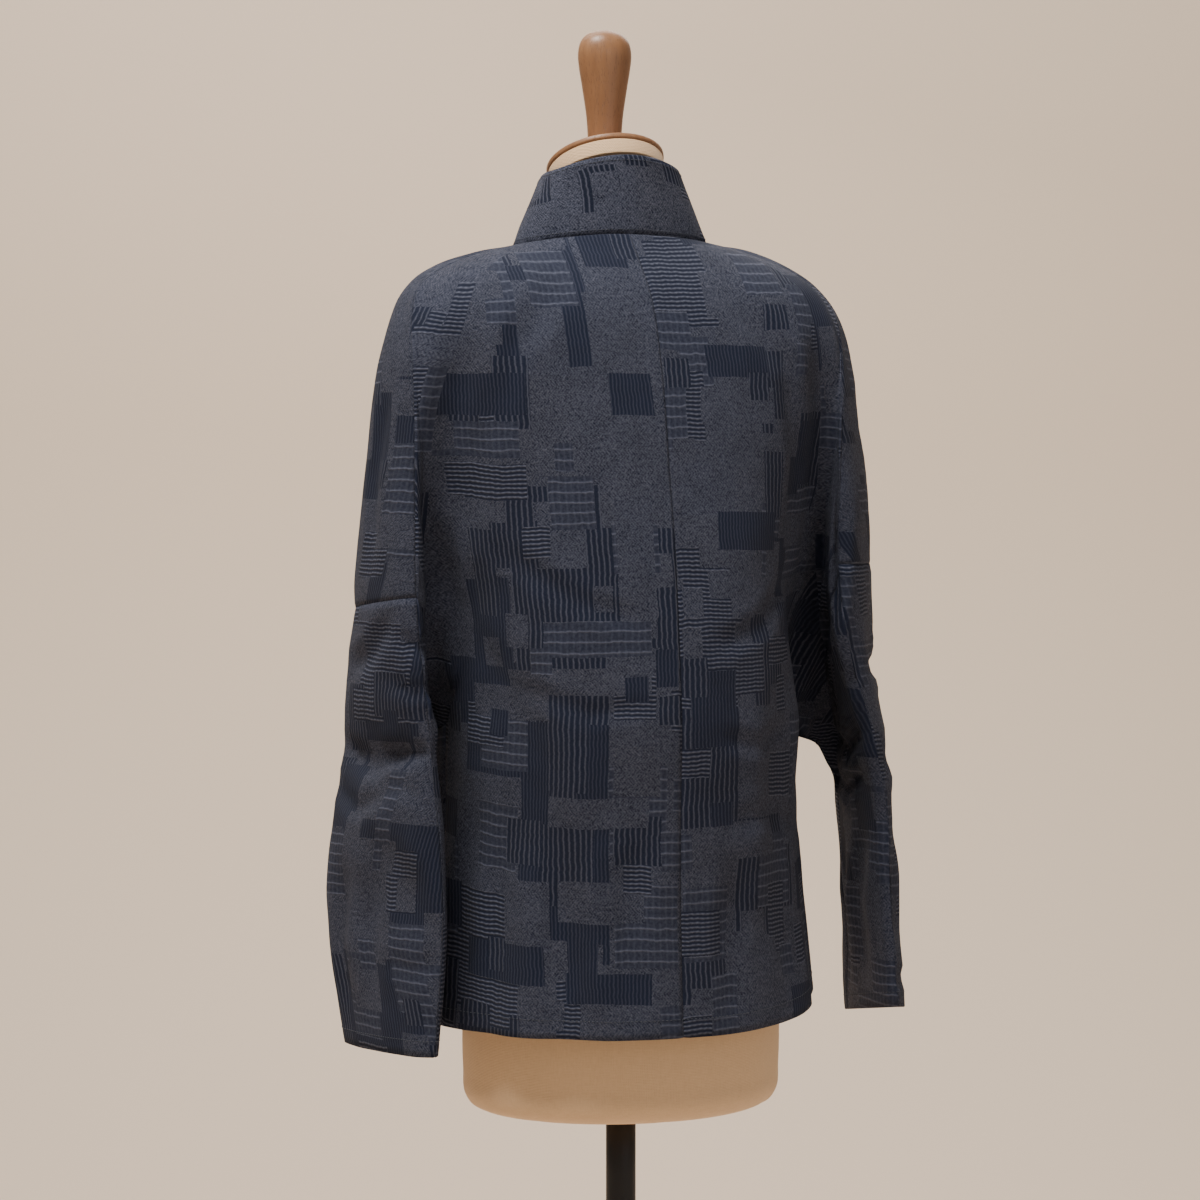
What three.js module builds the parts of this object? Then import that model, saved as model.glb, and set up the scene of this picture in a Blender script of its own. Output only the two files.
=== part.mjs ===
import * as THREE from "three";

// A wrap-front jacket in the hanfu style, on a limbless dress form. Sizes are in millimetres.
// +Z is up, the wearer faces -Y and the wearer's left is +X. The origin is on the floor, under
// the middle of the stand. Heights in the tables are measured from the nape, where the centre
// back seam meets the collar, so most of them are negative.

const NAPE_HEIGHT = 1425;
const WALL = 2; // thickness of a cloth wall
const SEAM_GAP = 0.3; // between two pieces that are sewn together
const UNDERLAP = 8; // how far the under front lies inside the outer front
const COLLAR_PLIES = 3; // cells across the width of the collar

// Levels of the body below the shoulders: half widths to the wearer's left and right, and how
// far the cloth reaches behind and in front of the body's axis.
const BODY = [
  { z: -100, left: 186, right: 176, back: 92, front: 104 },
  { z: -131, left: 184, right: 170, back: 98, front: 111 },
  { z: -190, left: 168, right: 150, back: 109, front: 120 },
  { z: -230, left: 155, right: 136, back: 119, front: 126 },
  { z: -285, left: 145, right: 127, back: 127, front: 130 },
  { z: -330, left: 141, right: 130, back: 132, front: 129 },
  { z: -383, left: 139, right: 137, back: 136, front: 127 },
  { z: -450, left: 139, right: 138, back: 133, front: 126 },
  { z: -530, left: 145, right: 147, back: 134, front: 129 },
  { z: -625, left: 155, right: 159, back: 140, front: 135 },
];

// The yoke, from the neck seam down to the top of the armholes. Each row runs from the centre
// back to the shoulder seam, and from there to the collar seam of the front.
const YOKE = [
  { z: 0, back: 21, left: [80, -33, -7], right: [-84, -33, -4], edge: [75, -57, -14], under: 0 },
  { z: -14, back: 34, left: [106, -24, -13], right: [-110, -25, -10], edge: [65, -74, -32], under: 1 },
  { z: -32, back: 53, left: [134, -12, -23], right: [-137, -14, -21], edge: [55, -85, -50], under: 4 },
  { z: -54, back: 71, left: [159, 1, -35], right: [-158, -3, -34], edge: [44, -93, -70], under: 7 },
  { z: -78, back: 83, left: [177, 17, -51], right: [-173, 13, -51], edge: [32, -100, -92], under: 8 },
  { z: -104, back: 91, left: [185, 33, -74], right: [-175, 32, -74], edge: [19, -105, -115], under: 8 },
  { z: -131, back: 98, left: [187, 44, -100], right: [-171, 47, -100], edge: [4, -110.9, -138], under: 8 },
];

// Sections of the sleeves: the crease at the back, which carries the overarm seam, the front
// edge, and the thickness of the hollow tube between them.
const SLEEVE = {
  left: [
    { z: -100, creaseX: 187, creaseY: 44, frontX: 195, frontY: -28, thick: 38 },
    { z: -131, creaseX: 187, creaseY: 50, frontX: 196, frontY: -32, thick: 35 },
    { z: -220, creaseX: 188, creaseY: 53, frontX: 200, frontY: -38, thick: 34 },
    { z: -291, creaseX: 188, creaseY: 56, frontX: 205, frontY: -46, thick: 34 },
    { z: -400, creaseX: 178, creaseY: 62, frontX: 210, frontY: -60, thick: 38 },
    { z: -525, creaseX: 171, creaseY: 70, frontX: 222, frontY: -74, thick: 38 },
    { z: -645, creaseX: 180, creaseY: 75, frontX: 211, frontY: -62, thick: 30 },
  ],
  right: [
    { z: -100, creaseX: -171, creaseY: 47, frontX: -198, frontY: -36, thick: 42 },
    { z: -134, creaseX: -168, creaseY: 56, frontX: -203, frontY: -46, thick: 44 },
    { z: -260, creaseX: -165, creaseY: 60, frontX: -222, frontY: -60, thick: 46 },
    { z: -325, creaseX: -172, creaseY: 60, frontX: -227, frontY: -70, thick: 44 },
    { z: -400, creaseX: -196, creaseY: 57, frontX: -231, frontY: -80, thick: 38 },
    { z: -460, creaseX: -210, creaseY: 53, frontX: -233, frontY: -83, thick: 34 },
    { z: -530, creaseX: -214, creaseY: 54, frontX: -234, frontY: -82, thick: 34 },
    { z: -640, creaseX: -220, creaseY: 58, frontX: -236, frontY: -74, thick: 32 },
  ],
};

// Where each sleeve leaves the body and ends. seam is the height of the sleeve seam at the
// crease and at the front edge, pit is the height of the underarm seam where it meets the sleeve.
const ARM = {
  left: { seamCrease: -284, seamFront: -297, pit: -446, cuffCrease: -636, cuffFront: -643 },
  right: { seamCrease: -262, seamFront: -266, pit: -462, cuffCrease: -622, cuffFront: -645 },
};
const PIT_Z = -383; // underarm seam at the body's side
const UNDERARM_SAG = { left: 0.42, right: 0.3 };
const UNDERARM_TURN = 1.36 * Math.PI; // underarm seam, turned from the crease round the front
const HEM_Z = -621;
const HEM_RISE = 19; // the hem is this much higher at the wearer's right side
const SLIT_Z = -566;
const SLIT_TURN = 0.12; // half the opening of a side slit at the hem

// Folds of the hanging cloth that are seen from a step away: soft troughs in the body's wall.
// turn is the angle from the centre back towards the wearer's left.
const FOLDS = [
  { turn: 0.5, top: -420, end: -625, wide: 26, deep: 5, drift: 0.1 },
  { turn: -0.42, top: -470, end: -625, wide: 30, deep: 4, drift: -0.06 },
  { turn: 1.02, top: -400, end: -620, wide: 24, deep: 6, drift: 0.06 },
  { turn: -1.05, top: -400, end: -622, wide: 22, deep: 5, drift: -0.08 },
  { turn: 0.16, top: -160, end: -330, wide: 34, deep: 3, drift: 0.16 },
  { turn: 2.2, top: -400, end: -625, wide: 28, deep: 4, drift: 0.08 },
  { turn: 3.3, top: -430, end: -625, wide: 30, deep: 4, drift: -0.1 },
];
const FOLD_RADIUS = 135;
// Puckers of the sleeves: troughs across the tube, turned from the crease like the underarm seam.
const PUCKERS = {
  left: [
    { z: -304, slope: 10, turn: 0.55, span: 0.6, wide: 9, deep: 4 },
    { z: -415, slope: -26, turn: 0.5, span: 0.5, wide: 13, deep: 9 },
    { z: -520, slope: 40, turn: 0.6, span: 0.5, wide: 16, deep: 4 },
  ],
  right: [
    { z: -360, slope: 30, turn: 0.5, span: 0.5, wide: 14, deep: 5 },
    { z: -470, slope: -34, turn: 0.4, span: 0.5, wide: 14, deep: 5 },
    { z: -560, slope: 28, turn: 0.6, span: 0.5, wide: 15, deep: 4 },
  ],
};

// How many cells a net has along each of its stretches, and round each part of the wearer.
const CELLS = { yoke: 8, arm: 8, skirt: 8, back: 10, web: 3, sleeve: 6, frontSleeve: 9, lower: 9 };
const FRONT_CELLS = { left: 16, right: 13 };
const ARM_END = CELLS.yoke + CELLS.arm; // the row of the underarm seam
const FULL_CIRCLE = 2 * Math.PI;
const QUARTER = Math.PI / 2;
const BODY_POWER = 0.87; // below 1 the body's section is squarer than an ellipse

// The left front laps over the right one. REACH is how far each passes the centre front, as a
// turn. The collar seams cross there at WRAP_TOP, and would meet the side seams at WRAP_END.
const REACH = { left: 1.38, right: 0.7 };
const WRAP_TOP = -138;
const WRAP_END = -470;
const WRAP_FOOT = -448; // foot of the slanting edge, from where the outer front hangs straight

// The front of the yoke rises over the shoulder from its seam, and swells outwards at the arm.
const SHOULDER_RISE = { left: 3, right: 10 };
const ARM_SWELL = { left: 17, right: 27 };

const COLLAR_WIDTH = 62;
const COLLAR_RISE = { top: 27, foot: 36 }; // how much higher the free edge is than the seam
const UNDER_STATIONS = 3; // the under collar goes on this far below the crossing
const EDGE_SINK = 2; // the under collar's free edge lies this many underlaps inside
// The collar beside the neck: its free edge at each row of YOKE, for the outer side.
const COLLAR_EDGE = [
  [49, -60, 42],
  [30, -84, 19],
  [10, -98, -7],
  [-10, -104, -37],
  [-25, -107.5, -64],
  [-38, -109.5, -88],
  [-51, -110, -110],
];
const COLLAR_TOP = { half: 55, back: 38, y: -18, centreZ: 62, sideZ: 51 };

// The form. Its shoulders lie just under the cloth, and its trunk is slimmer than the jacket.
const FORM = [
  { z: -84, half: 150, back: 72, front: 78, y: 0 },
  { z: -116, half: 140, back: 80, front: 84, y: 0 },
  { z: -165, half: 128, back: 86, front: 92, y: 0 },
  { z: -230, half: 111, back: 96, front: 99, y: 0 },
  { z: -310, half: 106, back: 102, front: 101, y: 0 },
  { z: -400, half: 112, back: 106, front: 104, y: 0 },
  { z: -480, half: 122, back: 108, front: 100, y: 0 },
  { z: -600, half: 130, back: 112, front: 104, y: 0 },
  { z: -665, half: 130, back: 112, front: 104, y: 0 },
  { z: -672, half: 120, back: 102, front: 94, y: 0 },
];
const SHOULDER_CLEARANCE = 0.5; // between the form's shoulders and the cloth
const NECK = { y: -36, tilt: 0.43, top: 57, capRadius: 47, capTall: 13, discTall: 5, baseRadius: 46 };
const HANDLE = [
  { z: 0, radius: 14 },
  { z: 12, radius: 13.8 },
  { z: 34, radius: 15 },
  { z: 58, radius: 18.5 },
  { z: 76, radius: 21.4 },
  { z: 86, radius: 22 },
  { z: 95, radius: 20 },
  { z: 101, radius: 15 },
  { z: 104, radius: 8 },
];
const STAND = { poleRadius: 12, baseRadius: 200, baseTall: 12, collarRadius: 26, collarTall: 36 };

// The ties sit on the outer front's edge at the wearer's right side.
const TIE = { z: -444, turn: -1.9, width: 12, thick: 1.6, knot: 10, seat: 6.2, drop: 7.4, lift: 2 };
const TAIL_ROWS = 8;
const TAILS = {
  front: { shift: -0.058, drift: -0.04, length: 150 },
  back: { shift: 0.058, drift: 0.01, length: 168 },
};

const lerp = (a, b, t) => a + (b - a) * t;
const clamp01 = (t) => Math.min(1, Math.max(0, t));
const ease = (t) => clamp01(t) ** 2 * (3 - 2 * clamp01(t));
const point = (x, y, z) => new THREE.Vector3(x, y, z);

// A smooth curve through one column of a table whose rows go down in z.
function column(table, name, z) {
  const last = table.length - 1;
  const below = table.findIndex((row) => row.z <= z);
  const i = Math.min(Math.max(below < 0 ? last : below - 1, 0), last - 1);
  const slope = (k) => {
    const a = Math.max(k - 1, 0);
    const b = Math.min(k + 1, last);
    return (table[b][name] - table[a][name]) / (table[b].z - table[a].z);
  };
  const [p, q] = [table[i], table[i + 1]];
  const gap = q.z - p.z;
  const t = clamp01((z - p.z) / gap);
  const s = 1 - t;
  return (
    p[name] * (1 + 2 * t) * s * s +
    q[name] * (3 - 2 * t) * t * t +
    gap * t * s * (slope(i) * s - slope(i + 1) * t)
  );
}

// A smooth value part of the way down the yoke, row by row.
function yokeValue(row, read) {
  const last = YOKE.length - 1;
  const i = Math.min(Math.floor(row), last - 1);
  const [a, b, c, d] = [i - 1, i, i + 1, i + 2].map((k) => read(YOKE[Math.min(Math.max(k, 0), last)], k));
  const t = row - i;
  const [m, n] = [(c - a) / (i === 0 ? 1 : 2), (d - b) / (i === last - 1 ? 1 : 2)];
  return b * (1 + 2 * t) * (1 - t) ** 2 + c * (3 - 2 * t) * t * t + t * (1 - t) * (m * (1 - t) - n * t);
}

const yokePoint = (row, name) => point(...[0, 1, 2].map((k) => yokeValue(row, (r) => r[name][k])));
const yokeRow = (i) => (i / CELLS.yoke) * (YOKE.length - 1);

const signed = (value, power) => Math.sign(value) * Math.abs(value) ** power;

// The same turn, between minus and plus half a circle.
const unwrap = (turn) => Math.atan2(Math.sin(turn), Math.cos(turn));

// A point on the body's wall, turned from the centre back towards the wearer's left.
function bodyPoint(z, turn, inset = 0) {
  const [s, c] = [Math.sin(turn), Math.cos(turn)];
  const half = column(BODY, s >= 0 ? "left" : "right", z) - inset;
  const deep = column(BODY, c >= 0 ? "back" : "front", z) - inset;
  let dent = 0;
  for (const fold of FOLDS) {
    const along = (fold.top - z) / (fold.top - fold.end);
    const middle = fold.turn + fold.drift * along;
    const off = (unwrap(turn - middle) * FOLD_RADIUS) / fold.wide;
    dent += fold.deep * ease(along * 2.2) * Math.exp(-off * off);
  }
  return point((half - dent) * signed(s, BODY_POWER), (deep - dent) * signed(c, BODY_POWER), z);
}

// A point on a sleeve's tube: turn 0 is the crease at the back, pi is the front edge.
function sleevePoint(side, z, turn) {
  const table = SLEEVE[side];
  const crease = point(column(table, "creaseX", z), column(table, "creaseY", z), z);
  const front = point(column(table, "frontX", z), column(table, "frontY", z), z);
  const thick = column(table, "thick", z);
  const across = front.clone().sub(crease);
  const out = point(-across.y, across.x, 0).normalize();
  if (out.x * crease.x < 0) out.negate();
  let bulge = (thick / 2) * Math.sin(turn);
  for (const pucker of PUCKERS[side]) {
    const off = (z - pucker.z - pucker.slope * (turn / Math.PI - pucker.turn)) / pucker.wide;
    const reach = (turn / Math.PI - pucker.turn) / pucker.span;
    bulge -= pucker.deep * Math.exp(-off * off - reach * reach) * ease(4 * Math.sin(turn));
  }
  return crease.addScaledVector(across, (1 - Math.cos(turn)) / 2).addScaledVector(out, bulge);
}

const RELAX = { rounds: 6, reach: 4, strength: 0.6 };

// Evens out a net where its yoke goes over into the arm, and keeps every edge that is sewn.
function relax(net) {
  const { rows, open } = net;
  for (let round = 0; round < RELAX.rounds; round += 1) {
    const before = rows.map((row) => row.map((p) => p.clone()));
    for (let i = 1; i + 1 < rows.length; i += 1) {
      const strength = RELAX.strength * ease(1.4 - Math.abs(i - CELLS.yoke) / RELAX.reach);
      for (let j = 1; strength > 0 && j + 1 < rows[i].length; j += 1) {
        const inside = [[i - 1, j - 1], [i - 1, j], [i, j - 1], [i, j]].every(([r, c]) => !open(r, c));
        if (!inside || !rows[i + 1][j] || !rows[i + 1][j + 1]) continue;
        const mean = before[i - 1][j].clone().add(before[i + 1][j]);
        mean.add(before[i][j - 1]).add(before[i][j + 1]).multiplyScalar(0.25);
        rows[i][j].lerp(mean, strength);
      }
    }
  }
  return net;
}

// Takes a run of points and returns count + 1 points at even distances along it.
function evenly(run, count) {
  const reach = [0];
  for (let i = 1; i < run.length; i += 1) reach.push(reach[i - 1] + run[i].distanceTo(run[i - 1]));
  const total = reach[reach.length - 1];
  const points = [];
  for (let k = 0, i = 1; k <= count; k += 1) {
    const want = (total * k) / count;
    while (i < run.length - 1 && reach[i] < want) i += 1;
    const t = clamp01((want - reach[i - 1]) / (reach[i] - reach[i - 1] || 1));
    points.push(run[i - 1].clone().lerp(run[i], t));
  }
  return points;
}

const STEPS = 40; // along a curve, before it is cut evenly
const steps = Array.from({ length: STEPS + 1 }, (unused, i) => i / STEPS);

// One quarter of the yoke at a row: from its centre line to the shoulder seam.
function yokeArc(start, seam, square) {
  return steps.map((t) => {
    const a = t * QUARTER;
    return point(
      start.x + (seam.x - start.x) * Math.sin(a) ** square,
      seam.y + (start.y - seam.y) * Math.cos(a) ** square,
      lerp(start.z, seam.z, ease(t)),
    );
  });
}

// Cuts a run in three stretches with fixed numbers of cells: body, web and sleeve.
function inStretches(run, cells, shares) {
  const count = 3 * STEPS;
  const fine = evenly(run, count);
  const cuts = [0, shares[0], shares[0] + shares[1], 1].map((share) => Math.round(count * share));
  return cells.flatMap((size, i) => evenly(fine.slice(cuts[i], cuts[i + 1] + 1), size).slice(i ? 1 : 0));
}

// The underarm seam, a short hanging curve from the body's side to the inside of the sleeve.
function underarm(side, cells) {
  const sign = side === "left" ? 1 : -1;
  const start = bodyPoint(PIT_Z, sign * QUARTER);
  const end = sleevePoint(side, ARM[side].pit, UNDERARM_TURN);
  const sag = start.clone().lerp(end, 0.75).setZ(lerp(start.z, end.z, UNDERARM_SAG[side]));
  const curve = new THREE.QuadraticBezierCurve3(start, sag, end);
  return evenly(steps.map((t) => curve.getPoint(t)), cells);
}

// The web of cloth between the body and the sleeve at one row, with a valley in it.
function web(from, before, to, after, slack, cells) {
  const gap = from.distanceTo(to) * slack;
  const start = from.clone().addScaledVector(from.clone().sub(before).normalize(), gap);
  const end = to.clone().addScaledVector(to.clone().sub(after).normalize(), gap);
  const curve = new THREE.CubicBezierCurve3(from, start, end, to);
  return evenly(steps.map((t) => curve.getPoint(t)), cells);
}

// The heights of the seam, web and body in the rows between the yoke and the underarm.
function armRow(side, share) {
  const arm = ARM[side];
  const top = YOKE[YOKE.length - 1];
  return {
    body: lerp(top.z, PIT_Z, share),
    crease: lerp(top[side][2], arm.seamCrease, share),
    front: lerp(top[side][2] - 8, arm.seamFront, share),
    pit: lerp(top.z + 14, arm.pit, share ** 1.1),
  };
}

// The columns of a sleeve, as turns round its tube. One column runs down the sharp front edge.
const backTurns = (land) =>
  Array.from({ length: CELLS.sleeve + 1 }, (unused, j) => lerp(land, FULL_CIRCLE, j / CELLS.sleeve));

function frontTurns(land) {
  const inner = CELLS.frontSleeve - CELLS.sleeve;
  return Array.from({ length: CELLS.frontSleeve + 1 }, (unused, j) =>
    j < inner ? lerp(land, Math.PI, j / inner) : lerp(Math.PI, 0, (j - inner) / CELLS.sleeve),
  );
}

const hemAt = (turn) => HEM_Z + HEM_RISE * Math.max(0, -Math.sin(turn)) ** 3;

// How far a side edge has turned away from its seam in the slit.
const slitTurn = (z) => SLIT_TURN * clamp01((SLIT_Z - z) / (SLIT_Z - HEM_Z));

// The half back, from the centre back seam to the overarm seam. Rows run from the neck to the
// hem, and below the underarm only the body's columns go on.
function backNet(side) {
  const sign = side === "left" ? 1 : -1;
  const cells = [CELLS.back, CELLS.web, CELLS.sleeve];
  const rows = [];
  for (let i = 0; i < CELLS.yoke; i += 1) {
    const row = yokeRow(i);
    const start = point(0, yokeValue(row, (r) => r.back), yokeValue(row, (r) => r.z));
    const run = yokeArc(start, yokePoint(row, side), lerp(1, 0.87, clamp01(row / 3)));
    rows.push(inStretches(run, cells, [0.62, 0.12]));
  }
  for (let i = 0; i <= CELLS.arm; i += 1) {
    const share = i / CELLS.arm;
    const z = armRow(side, share);
    const leave = sign * lerp(0.86, QUARTER, share ** 1.2);
    const body = evenly(steps.map((t) => bodyPoint(z.body, leave * t)), CELLS.back);
    const land = lerp(FULL_CIRCLE - 0.25, UNDERARM_TURN, share ** 1.3);
    const sleeve = backTurns(land).map((turn) => {
      const t = (turn - land) / (FULL_CIRCLE - land);
      return sleevePoint(side, lerp(z.pit, z.crease, ease(t)), turn);
    });
    const slack = 0.42 * (1 - share) ** 0.5;
    let bridge = web(body[CELLS.back], body[CELLS.back - 1], sleeve[0], sleeve[1], slack, CELLS.web);
    if (i === CELLS.arm) bridge = underarm(side, CELLS.web);
    rows.push([...body, ...bridge.slice(1, -1), ...sleeve]);
  }
  for (let i = 1; i <= CELLS.skirt; i += 1) {
    const share = i / CELLS.skirt;
    rows.push(
      Array.from({ length: CELLS.back + 1 }, (unused, j) => {
        const turn = (sign * QUARTER * j) / CELLS.back;
        const z = lerp(PIT_Z, hemAt(turn), share);
        return bodyPoint(z, j === CELLS.back ? turn - sign * slitTurn(z) : turn);
      }),
    );
  }
  return relax({ rows, open: (i, j) => i >= ARM_END && j >= CELLS.back });
}

// How far a front's slanting edge is past the centre front at a height. It looks straight from
// the front.
function wrapAt(z, reach) {
  const share = clamp01((WRAP_TOP - z) / (WRAP_TOP - WRAP_END));
  return Math.min(reach, Math.asin(share ** (1 / BODY_POWER)));
}

// The under front lies inside the outer one, and comes out to the wall at its own side seam.
function underInset(turn) {
  const fromSide = Math.abs(turn + QUARTER);
  return UNDERLAP * ease((fromSide - 0.01) / 0.12);
}

// A front, from its collar seam round the body to the overarm seam.
function frontNet(side) {
  const outer = side === "left";
  const sign = outer ? 1 : -1;
  const reach = REACH[side];
  const bodyCells = FRONT_CELLS[side];
  const cells = [bodyCells, CELLS.web, CELLS.frontSleeve];
  const inset = outer ? () => 0 : underInset;
  const rows = [];
  for (let i = 0; i < CELLS.yoke; i += 1) {
    const row = yokeRow(i);
    const edge = collarSeam(side, i);
    const run = i === 0 ? [edge, yokePoint(row, side)] : yokeArc(edge, yokePoint(row, side), 0.95);
    swell(run, side, i / CELLS.yoke);
    if (!outer) sinkUnder(run, yokeValue(row, (r) => r.under));
    rows.push(inStretches(run, cells, [0.45, 0.15]));
  }
  for (let i = 0; i <= CELLS.arm; i += 1) {
    const share = i / CELLS.arm;
    const z = armRow(side, share);
    const leave = sign * lerp(Math.PI - 0.95, QUARTER, share ** (outer ? 1.2 : 0.8));
    const edgeZ = lerp(WRAP_TOP, WRAP_FOOT, share);
    const end = sign * (Math.PI + wrapAt(edgeZ, reach));
    const body = evenly(
      steps.map((t) => {
        const turn = lerp(end, leave, t);
        return bodyPoint(lerp(edgeZ, z.body, ease(t)), turn, inset(unwrap(turn)));
      }),
      bodyCells,
    );
    const land = lerp(Math.PI + 0.4, UNDERARM_TURN, share ** 1.3);
    const sleeve = frontTurns(land).map((turn) => sleevePoint(side, sleeveHeight(z, turn), turn));
    const slack = 0.4 * (1 - share) ** 0.5;
    let bridge = web(body[bodyCells], body[bodyCells - 1], sleeve[0], sleeve[1], slack, CELLS.web);
    if (i === CELLS.arm) bridge = underarm(side, CELLS.web);
    rows.push([...body, ...bridge.slice(1, -1), ...sleeve]);
  }
  const top = rows[ARM_END].slice(0, bodyCells + 1);
  for (let i = 1; i <= CELLS.skirt; i += 1) {
    const share = i / CELLS.skirt;
    rows.push(
      top.map((start, j) => {
        const hang = sign * lerp(Math.PI + reach, QUARTER, j / bodyCells);
        const z = lerp(start.z, hemAt(hang), share);
        const turn = j === bodyCells
          ? hang + sign * slitTurn(z)
          : lerp(turnOf(start, hang), hang, ease(share * 2));
        return bodyPoint(z, turn, inset(unwrap(turn)));
      }),
    );
  }
  return relax({ rows, open: (i, j) => i >= ARM_END && j >= bodyCells });
}

// The turn of a point on the body's wall, on the same lap as a turn close to it.
function turnOf(at, near) {
  const half = column(BODY, at.x >= 0 ? "left" : "right", at.z);
  const deep = column(BODY, at.y >= 0 ? "back" : "front", at.z);
  const raw = Math.atan2(signed(at.x / half, 1 / BODY_POWER), signed(at.y / deep, 1 / BODY_POWER));
  return raw + FULL_CIRCLE * Math.round((near - raw) / FULL_CIRCLE);
}

// Height on the sleeve in a row between crease, front edge and underarm seam.
function sleeveHeight(z, turn) {
  if (turn <= Math.PI) return lerp(z.crease, z.front, ease(turn / Math.PI));
  return lerp(z.front, z.pit, ease((turn - Math.PI) / (UNDERARM_TURN - Math.PI)));
}

// Shapes a run of the front yoke over the shoulder and out at the arm.
function swell(run, side, share) {
  const sign = side === "left" ? 1 : -1;
  run.forEach((p, i) => {
    const t = i / (run.length - 1);
    p.z += SHOULDER_RISE[side] * ease(share * 4) * Math.sin(Math.PI * t ** 3) * (1 - share);
    p.x += sign * ARM_SWELL[side] * ease(share * 1.3) * Math.sin(Math.PI * t ** 4);
  });
}

// Moves a run of the under front's yoke back, full at its collar seam and nothing at the shoulder.
function sinkUnder(run, depth) {
  run.forEach((p, i) => {
    p.y += depth * (1 - ease((i / (run.length - 1) - 0.55) / 0.4));
  });
}

// The collar seam of a front in the yoke, at cell row i.
function collarSeam(side, i) {
  const edge = yokePoint(yokeRow(i), "edge");
  if (side === "right") edge.x = -edge.x;
  return edge;
}

// A lower sleeve: part of the tube between two turns, from the sleeve seam to the cuff.
function lowerSleeveNet(side, topRow, turns) {
  const arm = ARM[side];
  return {
    rows: Array.from({ length: CELLS.lower + 1 }, (unused, i) => {
      const share = i / CELLS.lower;
      if (i === 0) return topRow.map((p) => p.clone());
      return topRow.map((top, j) => {
        const turn = turns[j];
        const cuff = lerp(arm.cuffCrease, arm.cuffFront, (1 - Math.cos(turn)) / 2);
        const z = lerp(top.z, cuff, share);
        const onTube = sleevePoint(side, z, turn);
        const start = sleevePoint(side, top.z, turn);
        const shift = top.clone().sub(start).multiplyScalar(1 - ease(share * 1.6));
        return onTube.add(shift);
      });
    }),
    open: () => false,
  };
}

// The collar along one front: pairs of a place on its seam and one on its free edge.
function collarRun(side, net) {
  const outer = side === "left";
  return net.rows.slice(0, outer ? ARM_END + 1 : CELLS.yoke + UNDER_STATIONS + 1).map((row, i) => {
    if (i >= CELLS.yoke) return [row[0], freeEdge(row[0], outer, (i - CELLS.yoke) / CELLS.arm)];
    const free = point(...[0, 1, 2].map((k) => yokeValue(yokeRow(i), (r, n) => edgeAt(n, k))));
    if (!outer) {
      free.x = -free.x;
      free.y += yokeValue(yokeRow(i), (r) => r.under) * EDGE_SINK;
    }
    return [row[0], free];
  });
}

const edgeAt = (n, k) => COLLAR_EDGE[Math.min(Math.max(n, 0), COLLAR_EDGE.length - 1)][k];

// The collar behind the neck, on one side.
function neckRun(sign, net) {
  const count = net.rows[0].length - 1;
  return net.rows[0].map((seam, j) => {
    const a = (j / count) * QUARTER;
    const free = point(
      sign * COLLAR_TOP.half * Math.sin(a),
      COLLAR_TOP.y + COLLAR_TOP.back * Math.cos(a),
      lerp(COLLAR_TOP.sideZ, COLLAR_TOP.centreZ, Math.cos(a) ** 2),
    );
    return [seam, free];
  });
}

// The collar: one straight band. Its first column is sewn to the neck and to both fronts.
function collarNet() {
  const stations = [
    ...collarRun("left", nets.front_left).reverse(),
    ...neckRun(1, nets.back_left).reverse(),
    ...neckRun(-1, nets.back_right).slice(1),
    ...collarRun("right", nets.front_right),
  ];
  return {
    rows: stations.map((pair) => evenly(pair, COLLAR_PLIES)),
    gap: SEAM_GAP,
    open: () => false,
  };
}

// The free edge of the collar on the chest, square to the collar seam along the wall.
function freeEdge(seam, outer, share) {
  const sign = outer ? 1 : -1;
  const near = sign * Math.PI * (1 + share / 2);
  const turn = turnOf(seam, near);
  const rise = lerp(COLLAR_RISE.top, COLLAR_RISE.foot, share);
  const across = Math.sqrt(COLLAR_WIDTH ** 2 - rise ** 2);
  const limit = Math.PI + (outer ? lerp(1.1, REACH.left, ease((share - 0.45) / 0.4)) : REACH.right + 0.4);
  const inset = outer ? 0 : UNDERLAP * EDGE_SINK;
  let end = Math.abs(turn);
  const flat = (at) => bodyPoint(seam.z + rise, sign * at, inset);
  while (end < limit && flat(end).distanceTo(flat(Math.abs(turn))) < across) end += 0.01;
  return flat(end);
}

const key = (p) => [p.x, p.y, p.z].map((v) => Math.round(v * 50)).join();

// Sums the face normals that meet at each place, over all the nets, so that walls that are sewn
// together end in the same slant.
function sharedNormals(nets) {
  const sums = new Map();
  for (const net of nets) {
    for (const [a, b, c] of faces(net)) {
      const normal = b.clone().sub(a).cross(c.clone().sub(a));
      for (const corner of [a, b, c]) {
        if (!sums.has(key(corner))) sums.set(key(corner), point(0, 0, 0));
        sums.get(key(corner)).add(normal);
      }
    }
  }
  return sums;
}

function cellsOf(net) {
  const cells = [];
  for (let i = 0; i + 1 < net.rows.length; i += 1) {
    for (let j = 0; j + 1 < net.rows[0].length; j += 1) {
      if (!net.open(i, j)) cells.push([i, j]);
    }
  }
  return cells;
}

// The triangles of a net, with their faces outwards.
function faces(net) {
  return cellsOf(net).flatMap(([i, j]) => {
    const [a, b] = [net.rows[i][j], net.rows[i][j + 1]];
    const [c, d] = [net.rows[i + 1][j + 1], net.rows[i + 1][j]];
    return net.turned ? [[a, b, d], [b, c, d]] : [[a, d, b], [b, d, c]];
  });
}

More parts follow.
